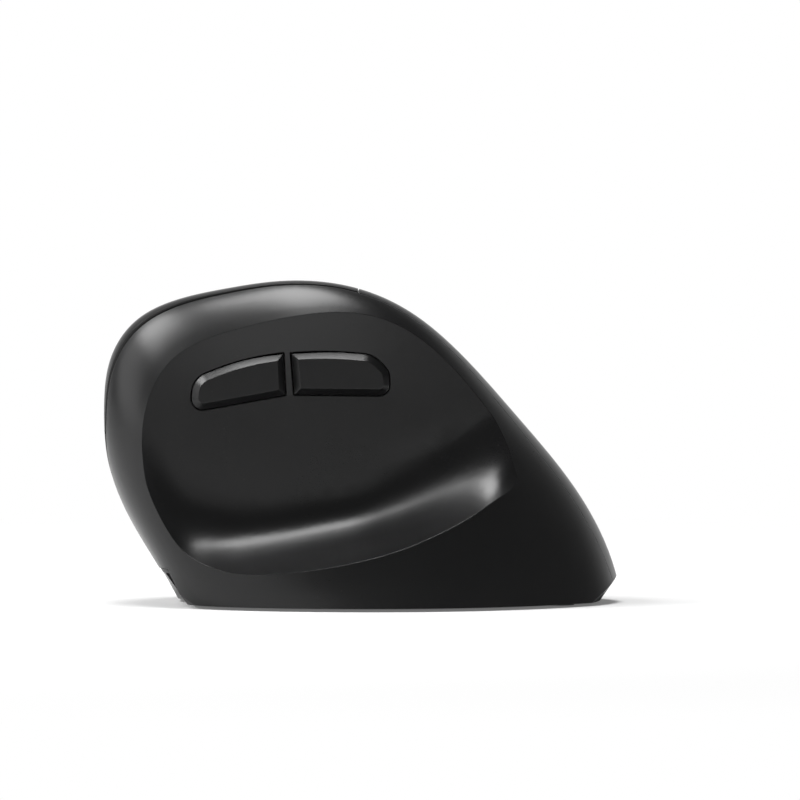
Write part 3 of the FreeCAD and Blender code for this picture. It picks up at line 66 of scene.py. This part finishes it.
class Socket:
    """One output of a material's node, with the arithmetic that its patterns need."""

    def __init__(self, recipe, socket):
        self.recipe, self.socket = recipe, socket

    def math(self, operation, *values):
        return self.recipe.node("Math", {"operation": operation}, dict(enumerate(values)))

    def __add__(self, other):
        return self.math("ADD", self, other)

    def __radd__(self, other):
        return self.math("ADD", other, self)

    def __sub__(self, other):
        return self.math("SUBTRACT", self, other)

    def __rsub__(self, other):
        return self.math("SUBTRACT", other, self)

    def __mul__(self, other):
        return self.math("MULTIPLY", self, other)

    def __gt__(self, other):
        return self.math("GREATER_THAN", self, other)


class Recipe:
    """The nodes of one material or of the world."""

    def __init__(self, owner):
        owner.use_nodes = True
        self.owner, self.tree = owner, owner.node_tree
        self.tree.nodes.clear()

    def node(self, kind, settings=None, sockets=None, out=0):
        made = self.tree.nodes.new("ShaderNode" + kind)
        for name, value in (settings or {}).items():
            setattr(made, name, value)
        for name, value in (sockets or {}).items():
            if isinstance(value, Socket):
                self.tree.links.new(value.socket, made.inputs[name])
            else:
                made.inputs[name].default_value = value
        return Socket(self, made.outputs[out]) if made.outputs else None

    def noise(self, place, scale, detail, **more):
        sockets = {"Vector": place, "Scale": scale, "Detail": detail, **more}
        return self.node("TexNoise", None, sockets)

    def ramp(self, value, start, end, first=0.0, last=1.0, **settings):
        """Follows a value from its start to its end, and stays level beyond them."""
        return self.node("MapRange", settings, {
            "Value": value, "From Min": start, "From Max": end, "To Min": first, "To Max": last})

    def bump(self, height, strength, distance, **more):
        sockets = {"Height": height, "Strength": strength, "Distance": distance, **more}
        return self.node("Bump", None, sockets)


def new_recipe(name):
    return Recipe(bpy.data.materials.new(name))


def new_object(name, mesh):
    thing = bpy.data.objects.new(name, mesh)
    bpy.context.scene.collection.objects.link(thing)
    return thing


WHITE = (1.0, 1.0, 1.0, 1.0)
table_half, table_drop = 4.0, 0.00002
shadow_reach, white_reach, nearest_white = 0.08, 0.40, 0.15
table_mesh = bpy.data.meshes.new("table")
sheet = bmesh.new()
under_mouse = Matrix.Translation((0, 0, -table_drop))
bmesh.ops.create_grid(sheet, x_segments=1, y_segments=1, size=table_half, matrix=under_mouse)
sheet.to_mesh(table_mesh)
sheet.free()
new_object("table", table_mesh)
paper = new_recipe("table_paper")
looked_at = paper.node("LightPath", out="Is Camera Ray")
place = paper.node("TexCoord", out="Object")
away = paper.node("VectorMath", {"operation": "LENGTH"}, {0: place}, out="Value")
fade = paper.ramp(away, shadow_reach, white_reach, nearest_white, interpolation_type="SMOOTHSTEP")
fibre = paper.noise(place, scale=900.0, detail=3.0)
tooth = paper.bump(fibre, strength=0.05, distance=0.0001)
matte = paper.node("BsdfDiffuse", None, {
    "Color": (0.9, 0.9, 0.9, 1.0), "Roughness": 0.5, "Normal": tooth})
white = paper.node("Emission", None, {"Color": WHITE, "Strength": 1.0})
shown = paper.node("MixShader", None, {"Fac": looked_at * fade, 1: matte, 2: white})
paper.node("OutputMaterial", None, {"Surface": shown})
table_mesh.materials.append(paper.owner)

# Room: a plain dim studio with a white backdrop behind the mouse, which the smooth plastic
# shows where it turns away from the camera.
dim_strength, backdrop_strength = 0.14, 1.0
backdrop_edge, backdrop_full = 0.35, 0.95
lamp_aim = Vector((0.0, 0.0, 0.04))
room = bpy.data.worlds.new("room")
bpy.context.scene.world = room
air = Recipe(room)
dim = air.node("Background", None, {"Color": WHITE, "Strength": dim_strength})
backdrop = air.node("Background", None, {"Color": WHITE, "Strength": backdrop_strength})
way = air.node("SeparateXYZ", None, {"Vector": air.node("TexCoord", out="Generated")}, out="Y")
behind = air.ramp(way, backdrop_edge, backdrop_full, interpolation_type="SMOOTHSTEP")
mirrored = air.node("LightPath", out="Is Glossy Ray") * behind
straight = air.node("LightPath", out="Is Camera Ray")
seen = straight + air.node("LightPath", out="Is Transmission Ray") + mirrored
lit = air.node("MixShader", None, {"Fac": seen, 1: dim, 2: backdrop})
air.node("OutputWorld", None, {"Surface": lit})


def softbox(name, spot, size, watts):
    """A square lamp that faces the mouse."""
    data = bpy.data.lights.new(name, "AREA")
    data.size = size
    data.energy = watts
    lamp = new_object(name, data)
    lamp.location = spot
    lamp.rotation_euler = (Vector(spot) - lamp_aim).to_track_quat("Z", "Y").to_euler()


softbox("overhead", (-0.05, -0.05, 0.90), size=0.40, watts=7.0)
softbox("left_high", (-0.62, -0.08, 0.72), size=0.40, watts=6.5)
softbox("left_low", (-0.92, 0.0, 0.30), size=0.50, watts=1.5)

# Base plate: the black floor moulding that everything stands on. It is moulded in the plainest
# and coarsest finish of the mouse, since it faces the table.
flow_scale, dust_scale = 38.0, 2600.0
dark_share, pale_share, pale_lift = 0.82, 1.25, 0.0008
dust_from, dust_full, dust_cover, dust_grey = 0.74, 0.80, 0.10, (0.18, 0.17, 0.16, 1.0)
worn_from, worn_full, worn_cover, worn_share, worn_lift = 0.02, 0.30, 0.6, 1.6, 0.004
fleck_from, fleck_share, fleck_stretch = 0.66, 2.6, (900.0, 5200.0, 5200.0)
flow_rough, speck_rough, dust_rough, worn_rough = 0.10, 0.08, 0.15, 0.08


def with_alpha(colour, scale=1.0, lift=0.0):
    return tuple(min(1.0, value * scale + lift) for value in colour) + (1.0,)


def blend(amount, first, second):
    """A colour between two others."""
    sockets = {"Factor": amount, 6: first, 7: second}
    return amount.recipe.node("Mix", {"data_type": "RGBA"}, sockets, out=2)


def rounded_normal(recipe, radius):
    return recipe.node("Bevel", {"samples": 4}, {"Radius": radius})


def drawn_lines(recipe, place, stretch, detail, turn=(0.0, 0.0, 0.0)):
    """A noise that is drawn out into lines."""
    drawn = recipe.node("Mapping", None, {"Vector": place, "Rotation": turn, "Scale": stretch})
    return recipe.noise(drawn, 1.0, detail)


def finished(recipe, colour, roughness, **more):
    """Ends a material's recipe in its surface."""
    sockets = {"Base Color": colour, "Roughness": roughness}
    sockets.update((name.replace("_", " "), value) for name, value in more.items())
    shader = recipe.node("BsdfPrincipled", None, sockets)
    recipe.node("OutputMaterial", None, {"Surface": shader})
    return recipe.owner


def moulded(name, colour, roughness, grain, specular=0.3, depth=0.00002, edge=0.00025, tip=None,
            fleck=0.0):
    """Injection-moulded plastic: the mould's grain, faint flow shading, dust and polished
    edges. A tip gives the part beyond a level along an axis its own colour."""
    mould = new_recipe(name)
    place = mould.node("TexCoord", out="Object")
    speck = mould.noise(place, grain, detail=2.0, Roughness=0.6)
    flow = mould.noise(place, flow_scale, detail=4.0, Roughness=0.55)
    dust = mould.ramp(mould.noise(place, dust_scale, detail=1.0), dust_from, dust_full, clamp=True)
    rounded = rounded_normal(mould, edge)
    facing = mould.node("NewGeometry", out="Normal")
    dot = {"operation": "DOT_PRODUCT"}
    turn = 1.0 - mould.node("VectorMath", dot, {0: rounded, 1: facing}, out="Value")
    worn = mould.ramp(turn, worn_from, worn_full, clamp=True)
    shade = flow * 0.5 + speck * 0.5
    dark, pale = with_alpha(colour, dark_share), with_alpha(colour, pale_share, pale_lift)
    tint = blend(shade, dark, pale)
    if tip:
        axis, level, tip_colour = tip
        along = mould.node("VectorMath", dot, {0: place, 1: tuple(axis)}, out="Value")
        tint = blend(along > level, tint, with_alpha(tip_colour))
    if fleck:
        glass = drawn_lines(mould, place, fleck_stretch, detail=1.0)
        tint = blend((glass > fleck_from) * fleck, tint, with_alpha(colour, fleck_share))
    tint = blend(worn * worn_cover, tint, with_alpha(colour, worn_share, worn_lift))
    tint = blend(dust * dust_cover, tint, dust_grey)
    rough = roughness + (flow - 0.5) * flow_rough + (speck - 0.5) * speck_rough
    rough = rough + dust * dust_rough - worn * worn_rough
    bump = mould.bump(speck, strength=0.5, distance=depth, Normal=rounded)
    return finished(mould, tint, rough, Normal=bump, Specular_IOR_Level=specular)


def dress(material, *names):
    """Gives CAD nodes their finish."""
    for name in names:
        for slot in nodes[name].material_slots:
            slot.material = material


base_plastic = moulded("base_plastic", (0.010, 0.010, 0.0105), roughness=0.50, grain=3200.0,
                       depth=0.00003)
dress(base_plastic, "base_plate")

# Glide feet: two slippery plastic pads in recesses of the base. Sliding on a desk leaves fine
# scratches along both ways the hand moves, and a polish around them.
pad = new_recipe("glide_plastic")
place = pad.node("TexCoord", out="Object")
lengthways = drawn_lines(pad, place, (60.0, 4200.0, 60.0), detail=3.0)
sideways = drawn_lines(pad, place, (3600.0, 50.0, 60.0), detail=3.0, turn=(0.0, 0.0, 0.5))
scratch = lengthways * 0.5 + sideways * 0.5
cloud = pad.noise(place, scale=120.0, detail=3.0)
tint = blend(scratch * 0.6 + cloud * 0.4, (0.018, 0.018, 0.019, 1.0), (0.045, 0.045, 0.046, 1.0))
bump = pad.bump(scratch, strength=0.3, distance=0.00002, Normal=rounded_normal(pad, 0.0003))
glide_plastic = finished(pad, tint, 0.34 + scratch * 0.16, Normal=bump, Specular_IOR_Level=0.4)
dress(glide_plastic, "front_glide", "rear_glide")

# Case screws: zinc-plated steel with cross recesses. Two hold each shell to the base plate and
# two hold the inner frame.


def metal(name, colour, roughness, brushing):
    """Plated or bare metal with the fine lines that drawing or turning leaves."""
    stock = new_recipe(name)
    place = stock.node("TexCoord", out="Object")
    line = drawn_lines(stock, place, brushing, detail=3.0)
    cloud = stock.noise(place, scale=400.0, detail=4.0)
    mix = line * 0.6 + cloud * 0.4
    tint = blend(mix, with_alpha(colour, 0.78), with_alpha(colour, 1.12))
    rounded = rounded_normal(stock, 0.0001)
    bump = stock.bump(line, strength=0.25, distance=0.00001, Normal=rounded)
    return finished(stock, tint, roughness + (mix - 0.5) * 0.18, Metallic=1.0, Normal=bump)


zinc = metal("screw_steel", (0.33, 0.33, 0.34), roughness=0.36, brushing=(2500.0, 2500.0, 300.0))
dress(zinc, "case_screws")

# Charging bay: a black liner in the nose, a shade glossier than the base, with the mouth of
# the socket in its back wall.
port_plastic = moulded("port_plastic", (0.004, 0.004, 0.0043), roughness=0.42, grain=4200.0)
dress(port_plastic, "port_bezel")

# Charging socket: a seamless drawn steel shell that is folded round a black tongue, whose gold
# contacts lie in a row on each side of it.
socket_round, sheet_steel = 0.0016, 0.0003
socket_tongue_half_width, socket_tongue_half_height = 0.0033, 0.00035
socket_tongue_front, tongue_end, tongue_soft = 0.0010, 0.0004, 0.00012
contact_count, contact_pitch, contact_half, contact_height = 8, 0.0007, 0.00015, 0.00004
contact_start, contact_end = 0.0003, 0.0036
LENGTHWISE, FACING = 0.001, 0.99


def block(form, low, high):
    """Adds a box between two corners to a form."""
    low, high = Vector(low), Vector(high)
    spot = Matrix.Translation((low + high) / 2) @ Matrix.Diagonal((*(high - low), 1.0))
    bmesh.ops.create_cube(form, size=1.0, matrix=spot)


def soften(form, edges, radius, segments=2):
    bmesh.ops.bevel(form, geom=edges, offset=radius, affect="EDGES", segments=segments,
                    profile=0.5, material=-1)


def softened_block(low, high, radius, segments=2):
    form = bmesh.new()
    block(form, low, high)
    soften(form, form.edges[:], radius, segments)
    return form


def sleeve(low, high, radius, segments, open_way):
    """A box with its long edges rounded, open at the end that faces one way."""
    form = bmesh.new()
    block(form, low, high)
    long_edges = [edge for edge in form.edges
                  if abs((edge.verts[0].co - edge.verts[1].co).x) > LENGTHWISE]
    soften(form, long_edges, radius, segments)
    ends = [face for face in form.faces if face.normal.dot(Vector(open_way)) > FACING]
    bmesh.ops.delete(form, geom=ends, context="FACES_ONLY")
    return form


def piece(name, form, material, slot, *stands_for):
    """Makes a form a fixed piece of the mouse."""
    bmesh.ops.recalc_face_normals(form, faces=form.faces[:])
    mesh = bpy.data.meshes.new(name)
    form.to_mesh(mesh)
    form.free()
    mesh.materials.append(material)
    made = new_object(name, mesh)
    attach(made, "housing")
    if stands_for:
        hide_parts(*stands_for)
    return made


def walled(made, thickness):
    """Gives an open form its wall, inwards."""
    wall = made.modifiers.new("wall", "SOLIDIFY")
    wall.thickness = thickness
    wall.offset = -1.0


def corners_of(name):
    return [Vector(corner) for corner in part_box(name)]


bright_steel = metal("socket_steel", (0.56, 0.56, 0.57), roughness=0.27,
                     brushing=(100.0, 2400.0, 2400.0))
gold_plating = metal("gold_plating", (0.78, 0.54, 0.22), roughness=0.26,
                     brushing=(200.0, 3000.0, 3000.0))
contact_black = moulded("contact_black", (0.008, 0.008, 0.0085), roughness=0.45, grain=5200.0,
                        depth=0.000004, edge=0.00008)
low, high = corners_of("usb_socket")
middle = (low + high) / 2
shell = sleeve(low, high, socket_round, 8, open_way=(-1, 0, 0))
walled(piece("socket_shell", shell, bright_steel, "socket_steel", "usb_socket"), sheet_steel)
tongue_low = Vector((low.x + socket_tongue_front, middle.y - socket_tongue_half_width,
                     middle.z - socket_tongue_half_height))
tongue_high = Vector((high.x - tongue_end, middle.y + socket_tongue_half_width,
                      middle.z + socket_tongue_half_height))
tongue = softened_block(tongue_low, tongue_high, tongue_soft)
piece("socket_tongue", tongue, contact_black, "base_plastic", "usb_socket")
strips = bmesh.new()
for row in range(contact_count):
    across = middle.y + (row - (contact_count - 1) / 2) * contact_pitch
    for level in (tongue_low.z - contact_height, tongue_high.z):
        block(strips, (tongue_low.x + contact_start, across - contact_half, level),
              (tongue_low.x + contact_end, across + contact_half, level + contact_height))
piece("socket_contacts", strips, gold_plating, "socket_steel", "usb_socket")

# Main board: glass-fibre laminate under green lacquer on the pegs of the base plate. The copper
# tracks show as raised paler lines, and small ceramic parts are soldered along its near edge.
part_length, part_width, part_end, part_height = 0.0016, 0.0008, 0.22, 0.9
part_lift, solder_height, part_soft = 0.00004, 0.00003, 0.00006


def laminate(name, dark, pale):
    board = new_recipe(name)
    place = board.node("TexCoord", out="Object")
    turned = board.node("Mapping", None, {"Vector": place, "Rotation": (0.6, 0.3, 0.78)})
    tracks = board.node("TexBrick", {"offset": 0.37, "squash": 0.6}, {
        "Vector": turned, "Scale": 330.0, "Mortar Size": 0.05, "Mortar Smooth": 0.3,
        "Brick Width": 1.4, "Row Height": 0.42}, out="Fac")
    weave = board.noise(place, scale=2400.0, detail=2.0)
    tint = blend(tracks * 0.7 + weave * 0.3, with_alpha(dark), with_alpha(pale))
    bump = board.bump(tracks + weave * 0.3, strength=0.4, distance=0.00003)
    return finished(board, tint, 0.30 + weave * 0.15, Normal=bump, Specular_IOR_Level=0.5)


green_board = laminate("green_board", (0.006, 0.045, 0.020), (0.020, 0.120, 0.055))
dress(green_board, "main_board", "button_board")
ceramic = moulded("ceramic", (0.26, 0.19, 0.12), roughness=0.50, grain=5600.0, depth=0.00001,
                  edge=0.00006)
tin = metal("tin", (0.62, 0.62, 0.60), roughness=0.32, brushing=(3000.0, 3000.0, 3000.0))


def staggered(x, y, pitch, shift, count):
    """Spots of small parts, every second one of them shifted out of the row."""
    return [(x + step * pitch, y + step % 2 * shift, part_length, part_width)
            for step in range(count)]


def small_parts(name, spots, lie):
    """Ceramic parts with tinned ends, soldered at spots (x, y, length, width) of a board."""
    bodies, ends = bmesh.new(), bmesh.new()
    for x, y, length, width in spots:
        tall = width * part_height
        half = width / 2
        first, last = x + length * part_end, x + length * (1 - part_end)
        block(bodies, (first, y - half, part_lift), (last, y + half, tall))
        for start, end in ((x, first), (last, x + length)):
            block(ends, (start, y - half, 0.0), (end, y + half, tall + solder_height))
    for part, form, material, slot in (("_bodies", bodies, ceramic, "connector_plastic"),
                                       ("_ends", ends, tin, "screw_steel")):
        soften(form, form.edges[:], part_soft, 1)
        bmesh.ops.transform(form, matrix=lie, verts=form.verts)
        piece(name + part, form, material, slot)


board_low, board_high = corners_of("main_board")
spots = staggered(board_low.x + 0.006, board_low.y + 0.0062, pitch=0.0031, shift=-0.0018, count=10)
crystal = (board_low.x + 0.0215, board_high.y - 0.0042, 0.0030, 0.0016)
regulator = (board_high.x - 0.0062, board_low.y + 0.0082, 0.0032, 0.0025)
small_parts("main_parts", spots + [crystal, regulator], Matrix.Translation((0, 0, board_high.z)))

# Sensor and controller: black epoxy packages, soldered flat on the board. The moulding is
# slightly matt, with sharp edges.
chip_plastic = moulded("chip_plastic", (0.018, 0.018, 0.019), roughness=0.55, grain=5200.0,
                       depth=0.00001, edge=0.00012)
dress(chip_plastic, "motion_sensor", "controller_chip")

# Sensor lens: clear moulding between the sensor and the opening of the base. It is polished
# where light passes and a little hazy elsewhere.
glassy = new_recipe("clear_lens")
haze = glassy.noise(glassy.node("TexCoord", out="Object"), scale=700.0, detail=3.0)
clear_lens = finished(glassy, (0.95, 0.97, 0.98, 1.0), 0.03 + haze * 0.05, IOR=1.49,
                      Transmission_Weight=1.0)
dress(clear_lens, "sensor_lens")

# Battery: a flat cell in a silver film between two rails of the base, a little creased where
# the film is folded.
film = new_recipe("cell_wrap")
place = film.node("TexCoord", out="Object")
crease = film.node("TexVoronoi", {"feature": "DISTANCE_TO_EDGE"}, {"Vector": place, "Scale": 110.0},
                   out="Distance")
swell = film.noise(place, scale=180.0, detail=4.0)
tint = blend(swell, (0.38, 0.39, 0.41, 1.0), (0.58, 0.59, 0.60, 1.0))
bump = film.bump(crease * 2.0 + swell * 0.5, strength=0.35, distance=0.0001,
                 Normal=rounded_normal(film, 0.0006))
cell_wrap = finished(film, tint, 0.28 + swell * 0.16, Metallic=0.7, Normal=bump)
dress(cell_wrap, "battery")

# Power switch: a small slide switch on the base plate, and under the base its black knob with
# three grip grooves.


def switch_case(name, tip=None):
    return moulded(name, (0.012, 0.012, 0.013), roughness=0.42, grain=3600.0, depth=0.00001,
                   edge=0.00015, tip=tip)


dress(switch_case("switch_case"), "power_switch", "wheel_encoder")
key_plastic = moulded("key_plastic", (0.0040, 0.0040, 0.0043), roughness=0.30, grain=4600.0,
                      specular=0.4, depth=0.000003, edge=0.00030)
dress(key_plastic, "power_knob")

# Receiver: stowed in its bay in the base. A rounded black cap with a sunk thumb panel holds a
# folded steel plug with two windows, and inside it a black tongue with four gold contacts.
cap_round, cap_border, cap_sink = 0.0007, 0.0008, -0.0003
plug_length, plug_width, plug_height, plug_lift = 0.012, 0.012, 0.0045, 0.0008
plug_root, plug_round = 0.0005, 0.0003
window_start, window_end, window_y = 0.0075, 0.0050, (0.0012, 0.0036)
tongue_root, tongue_gap, tongue_level, receiver_soft = 0.0004, 0.0004, 0.0021, 0.00015
pin_places, pin_half, pin_height = (-0.0035, -0.0012, 0.0012, 0.0035), 0.0005, 0.0001
pin_start, pin_end = 0.0080, 0.0012
receiver_plastic = moulded("receiver_plastic", (0.012, 0.012, 0.0125), roughness=0.38,
                           grain=4200.0, edge=0.00040)
low, high = corners_of("receiver")
middle_y = (low.y + high.y) / 2
plug_x, plug_z = high.x - plug_length, low.z + plug_lift
cap = softened_block(low, (plug_x, high.y, high.z), cap_round, 3)
for face in cap.faces[:]:
    if abs(face.normal.z) > FACING:
        bmesh.ops.inset_region(cap, faces=[face], thickness=cap_border, depth=cap_sink)
piece("receiver_cap", cap, receiver_plastic, "receiver_plastic", "receiver")
plug_high = (high.x, middle_y + plug_width / 2, plug_z + plug_height)
plug = sleeve((plug_x - plug_root, middle_y - plug_width / 2, plug_z), plug_high, plug_round, 3,
              open_way=(1, 0, 0))
window_x = (high.x - window_start, high.x - window_end)
cuts = [((x, 0, 0), (1, 0, 0)) for x in window_x]
cuts += [((0, middle_y + side * y, 0), (0, 1, 0)) for y in window_y for side in (-1, 1)]
for spot, normal in cuts:
    everything = plug.verts[:] + plug.edges[:] + plug.faces[:]
    bmesh.ops.bisect_plane(plug, geom=everything, plane_co=spot, plane_no=normal)
windows = []
for face in plug.faces:
    centre = face.calc_center_median()
    inside = (window_x[0] < centre.x < window_x[1]
              and window_y[0] < abs(centre.y - middle_y) < window_y[1])
    if inside and abs(face.normal.z) > FACING:
        windows.append(face)
bmesh.ops.delete(plug, geom=windows, context="FACES")
walled(piece("receiver_plug", plug, bright_steel, "socket_steel", "receiver"), sheet_steel)
tongue_low = Vector((plug_x - tongue_root, middle_y - plug_width / 2 + tongue_gap,
                     plug_z + tongue_level))
tongue_high = Vector((high.x - tongue_end, middle_y + plug_width / 2 - tongue_gap,
                      plug_z + plug_height - tongue_gap))
tongue = softened_block(tongue_low, tongue_high, receiver_soft)
piece("receiver_tongue", tongue, contact_black, "receiver_plastic", "receiver")
strips = bmesh.new()
for across in pin_places:
    block(strips, (high.x - pin_start, middle_y + across - pin_half, tongue_low.z - pin_height),
          (high.x - pin_end, middle_y + across + pin_half, tongue_low.z))
piece("receiver_contacts", strips, gold_plating, "socket_steel", "receiver")

# Inner frame: grey glass-filled plastic, stiff enough to hold the hinge and the wheel. Short
# fibres show in its skin.
frame_plastic = moulded("frame_plastic", (0.045, 0.046, 0.048), roughness=0.58, grain=2600.0,
                        depth=0.00003, fleck=0.5)
dress(frame_plastic, "inner_frame")

# Button board and its screws: a second green board on the frame's standoffs. Its small parts
# lie in the free places behind the two microswitches.
dress(zinc, "board_screws")
finger = Matrix.Rotation(math.radians(-60.0), 4, "X")
outwards = finger.to_3x3() @ Vector((0, 0, 1))


def reach_of(name, axis):
    """How far a CAD node reaches along an axis."""
    return max(vertex.co.dot(axis) for vertex in nodes[name].data.vertices)


low, high = corners_of("wheel_tyre")
wheel = finger.inverted() @ ((low + high) / 2)
board_face = reach_of("button_board", outwards)
spots = staggered(wheel.x + 0.0125, wheel.y - 0.0098, pitch=0.0030, shift=0.0016, count=5)
spots += staggered(wheel.x + 0.0080, wheel.y + 0.0136, pitch=0.0030, shift=-0.0016, count=6)
small_parts("button_parts", spots, finger @ Matrix.Translation((0, 0, board_face)))

# Microswitches and push switches: black cases with white plungers. The two large ones click
# under the main buttons, the small ones under the wheel and the resolution button.
plunger_white = (0.60, 0.58, 0.52)
plunger_height, middle_plunger_height, plunger_foot = 0.0006, 0.0005, 0.00002


def dress_switch(name, axis, plunger=plunger_height):
    """Gives a switch its black case, and its white plunger at the end of the axis."""
    level = reach_of(name, axis) - plunger + plunger_foot
    dress(switch_case(name + "_case", tip=(axis, level, plunger_white)), name)


for name in ("left_switch", "right_switch"):
    dress_switch(name, outwards)
dress_switch("middle_switch", outwards, middle_plunger_height)
dress_switch("dpi_switch", outwards)

# Ribbon: a flat cable of ten copper conductors between clear films, which carries the signals
# of the button board down to the main board.
conductor_pitch, conductor_edge = 1250.0, 0.2
flat = new_recipe("ribbon_film")
place = flat.node("TexCoord", out="Object")
sideways = flat.node("SeparateXYZ", None, {"Vector": place})
waves = flat.node("Math", {"operation": "PINGPONG"}, {0: sideways * conductor_pitch, 1: 0.5})
lines = waves > conductor_edge
cloud = flat.noise(place, scale=500.0, detail=3.0)
tint = blend(lines, (0.52, 0.52, 0.48, 1.0), (0.40, 0.30, 0.20, 1.0))
tint = blend(cloud * 0.3, tint, (0.60, 0.58, 0.52, 1.0))
bump = flat.bump(lines + cloud * 0.2, strength=0.4, distance=0.00004)
ribbon_film = finished(flat, tint, 0.26 + cloud * 0.14, Normal=bump, Specular_IOR_Level=0.5)
dress(ribbon_film, "ribbon_cable")

# Ribbon connectors: ivory mouldings soldered to the two boards, which grip the cable's ends.
# The plastic has yellowed a little.
connector_plastic = moulded("connector_plastic", (0.50, 0.47, 0.40), roughness=0.45, grain=3600.0)
dress(connector_plastic, "ribbon_connectors")

# Hinge shaft: a ground steel pin across the frame's three uprights, on which both main buttons
# swing.
plain_steel = metal("plain_steel", (0.60, 0.60, 0.61), roughness=0.24,
                    brushing=(120.0, 2600.0, 2600.0))
dress(plain_steel, "hinge_shaft")

# Wheel: a soft black rubber tyre with thirty grooves, pressed on a hub of polished plastic
# whose axle turns in the cradle.
tyre_rubber = moulded("tyre_rubber", (0.010, 0.010, 0.010), roughness=0.66, grain=3800.0,
                      specular=0.25, depth=0.00004)
dress(tyre_rubber, "wheel_tyre")
dress(moulded("hub_plastic", (0.02, 0.02, 0.021), roughness=0.30, grain=4800.0), "wheel_hub")

# Cradle: grey plastic frame that carries the wheel and slides down on two posts, against two
# small coil springs of steel wire.
dress(frame_plastic, "wheel_cradle")
spring_steel = metal("spring_steel", (0.52, 0.52, 0.54), roughness=0.28,
                     brushing=(1800.0, 1800.0, 1800.0))
coil_radius, wire_radius, coil_length, coil_lift = 0.00135, 0.00016, 0.0019, 0.00002
coil_turns, turn_steps, wire_sides = 4, 24, 10
post_away, rear_post_aside = 0.0132, 0.0028
coil_steps = coil_turns * turn_steps
for name, along, aside in (("front_spring", -post_away, 0.0),
                           ("rear_spring", post_away, rear_post_aside)):
    wire = bmesh.new()
    start = Matrix.Translation((coil_radius, 0, wire_radius)) @ Matrix.Rotation(math.pi / 2, 4, "X")
    bmesh.ops.create_circle(wire, segments=wire_sides, radius=wire_radius, matrix=start)
    bmesh.ops.spin(wire, geom=wire.verts[:] + wire.edges[:], cent=(0, 0, 0), axis=(0, 0, 1),
                   dvec=(0, 0, coil_length / coil_steps), angle=2 * math.pi * coil_turns,
                   steps=coil_steps)
    bmesh.ops.holes_fill(wire, edges=[edge for edge in wire.edges if edge.is_boundary], sides=0)
    seat = Matrix.Translation((wheel.x + along, wheel.y - aside, board_face + coil_lift))
    bmesh.ops.transform(wire, matrix=finger @ seat, verts=wire.verts)
    coil = piece(name, wire, spring_steel, "plain_steel")
    for polygon in coil.data.polygons:
        polygon.use_smooth = True

# Centre strip: a polished black cover between the main buttons, behind the wheel, held on two
# legs. It is the only glossy moulding of the mouse.
gloss_strip = moulded("gloss_strip", (0.005, 0.005, 0.0055), roughness=0.15, grain=5200.0,
                      specular=0.5, depth=0.000002)
dress(gloss_strip, "centre_strip")

# Status light and resolution button: a milky light pipe and a black pill cap in the strip. The
# pipe is polished flush with it.
light_pipe = moulded("light_pipe", (0.62, 0.66, 0.64), roughness=0.30, grain=4200.0,
                     specular=0.5, depth=0.000004)
dress(light_pipe, "status_light")
dress(key_plastic, "dpi_button")

# Side board: a narrow board behind the thumb panel, lacquered black so that it can't be seen
# through the seams, with a push switch for each side button.
dress(laminate("black_board", (0.004, 0.004, 0.0045), (0.012, 0.012, 0.013)), "side_board")
dress(zinc, "side_screws")
side_turn = math.radians(4.3)
thumbwards = Vector((math.sin(side_turn), -math.cos(side_turn), 0))
for name in ("forward_switch", "back_switch"):
    dress_switch(name, thumbwards)

# Side buttons: two satin black caps with wide chamfers, which catch the light along their
# upper edges. They are a shade smoother than the shell.
dress(key_plastic, "forward_button", "back_button")

# Shells and main buttons: smooth satin black mouldings. Fine grain keeps fingerprints from
# showing, and the crown takes a soft highlight.
shell_plastic = moulded("shell_plastic", (0.0042, 0.0042, 0.0045), roughness=0.30, grain=3800.0,
                        specular=0.4, depth=0.000004)
dress(shell_plastic, "thumb_shell", "palm_shell", "left_button", "right_button")
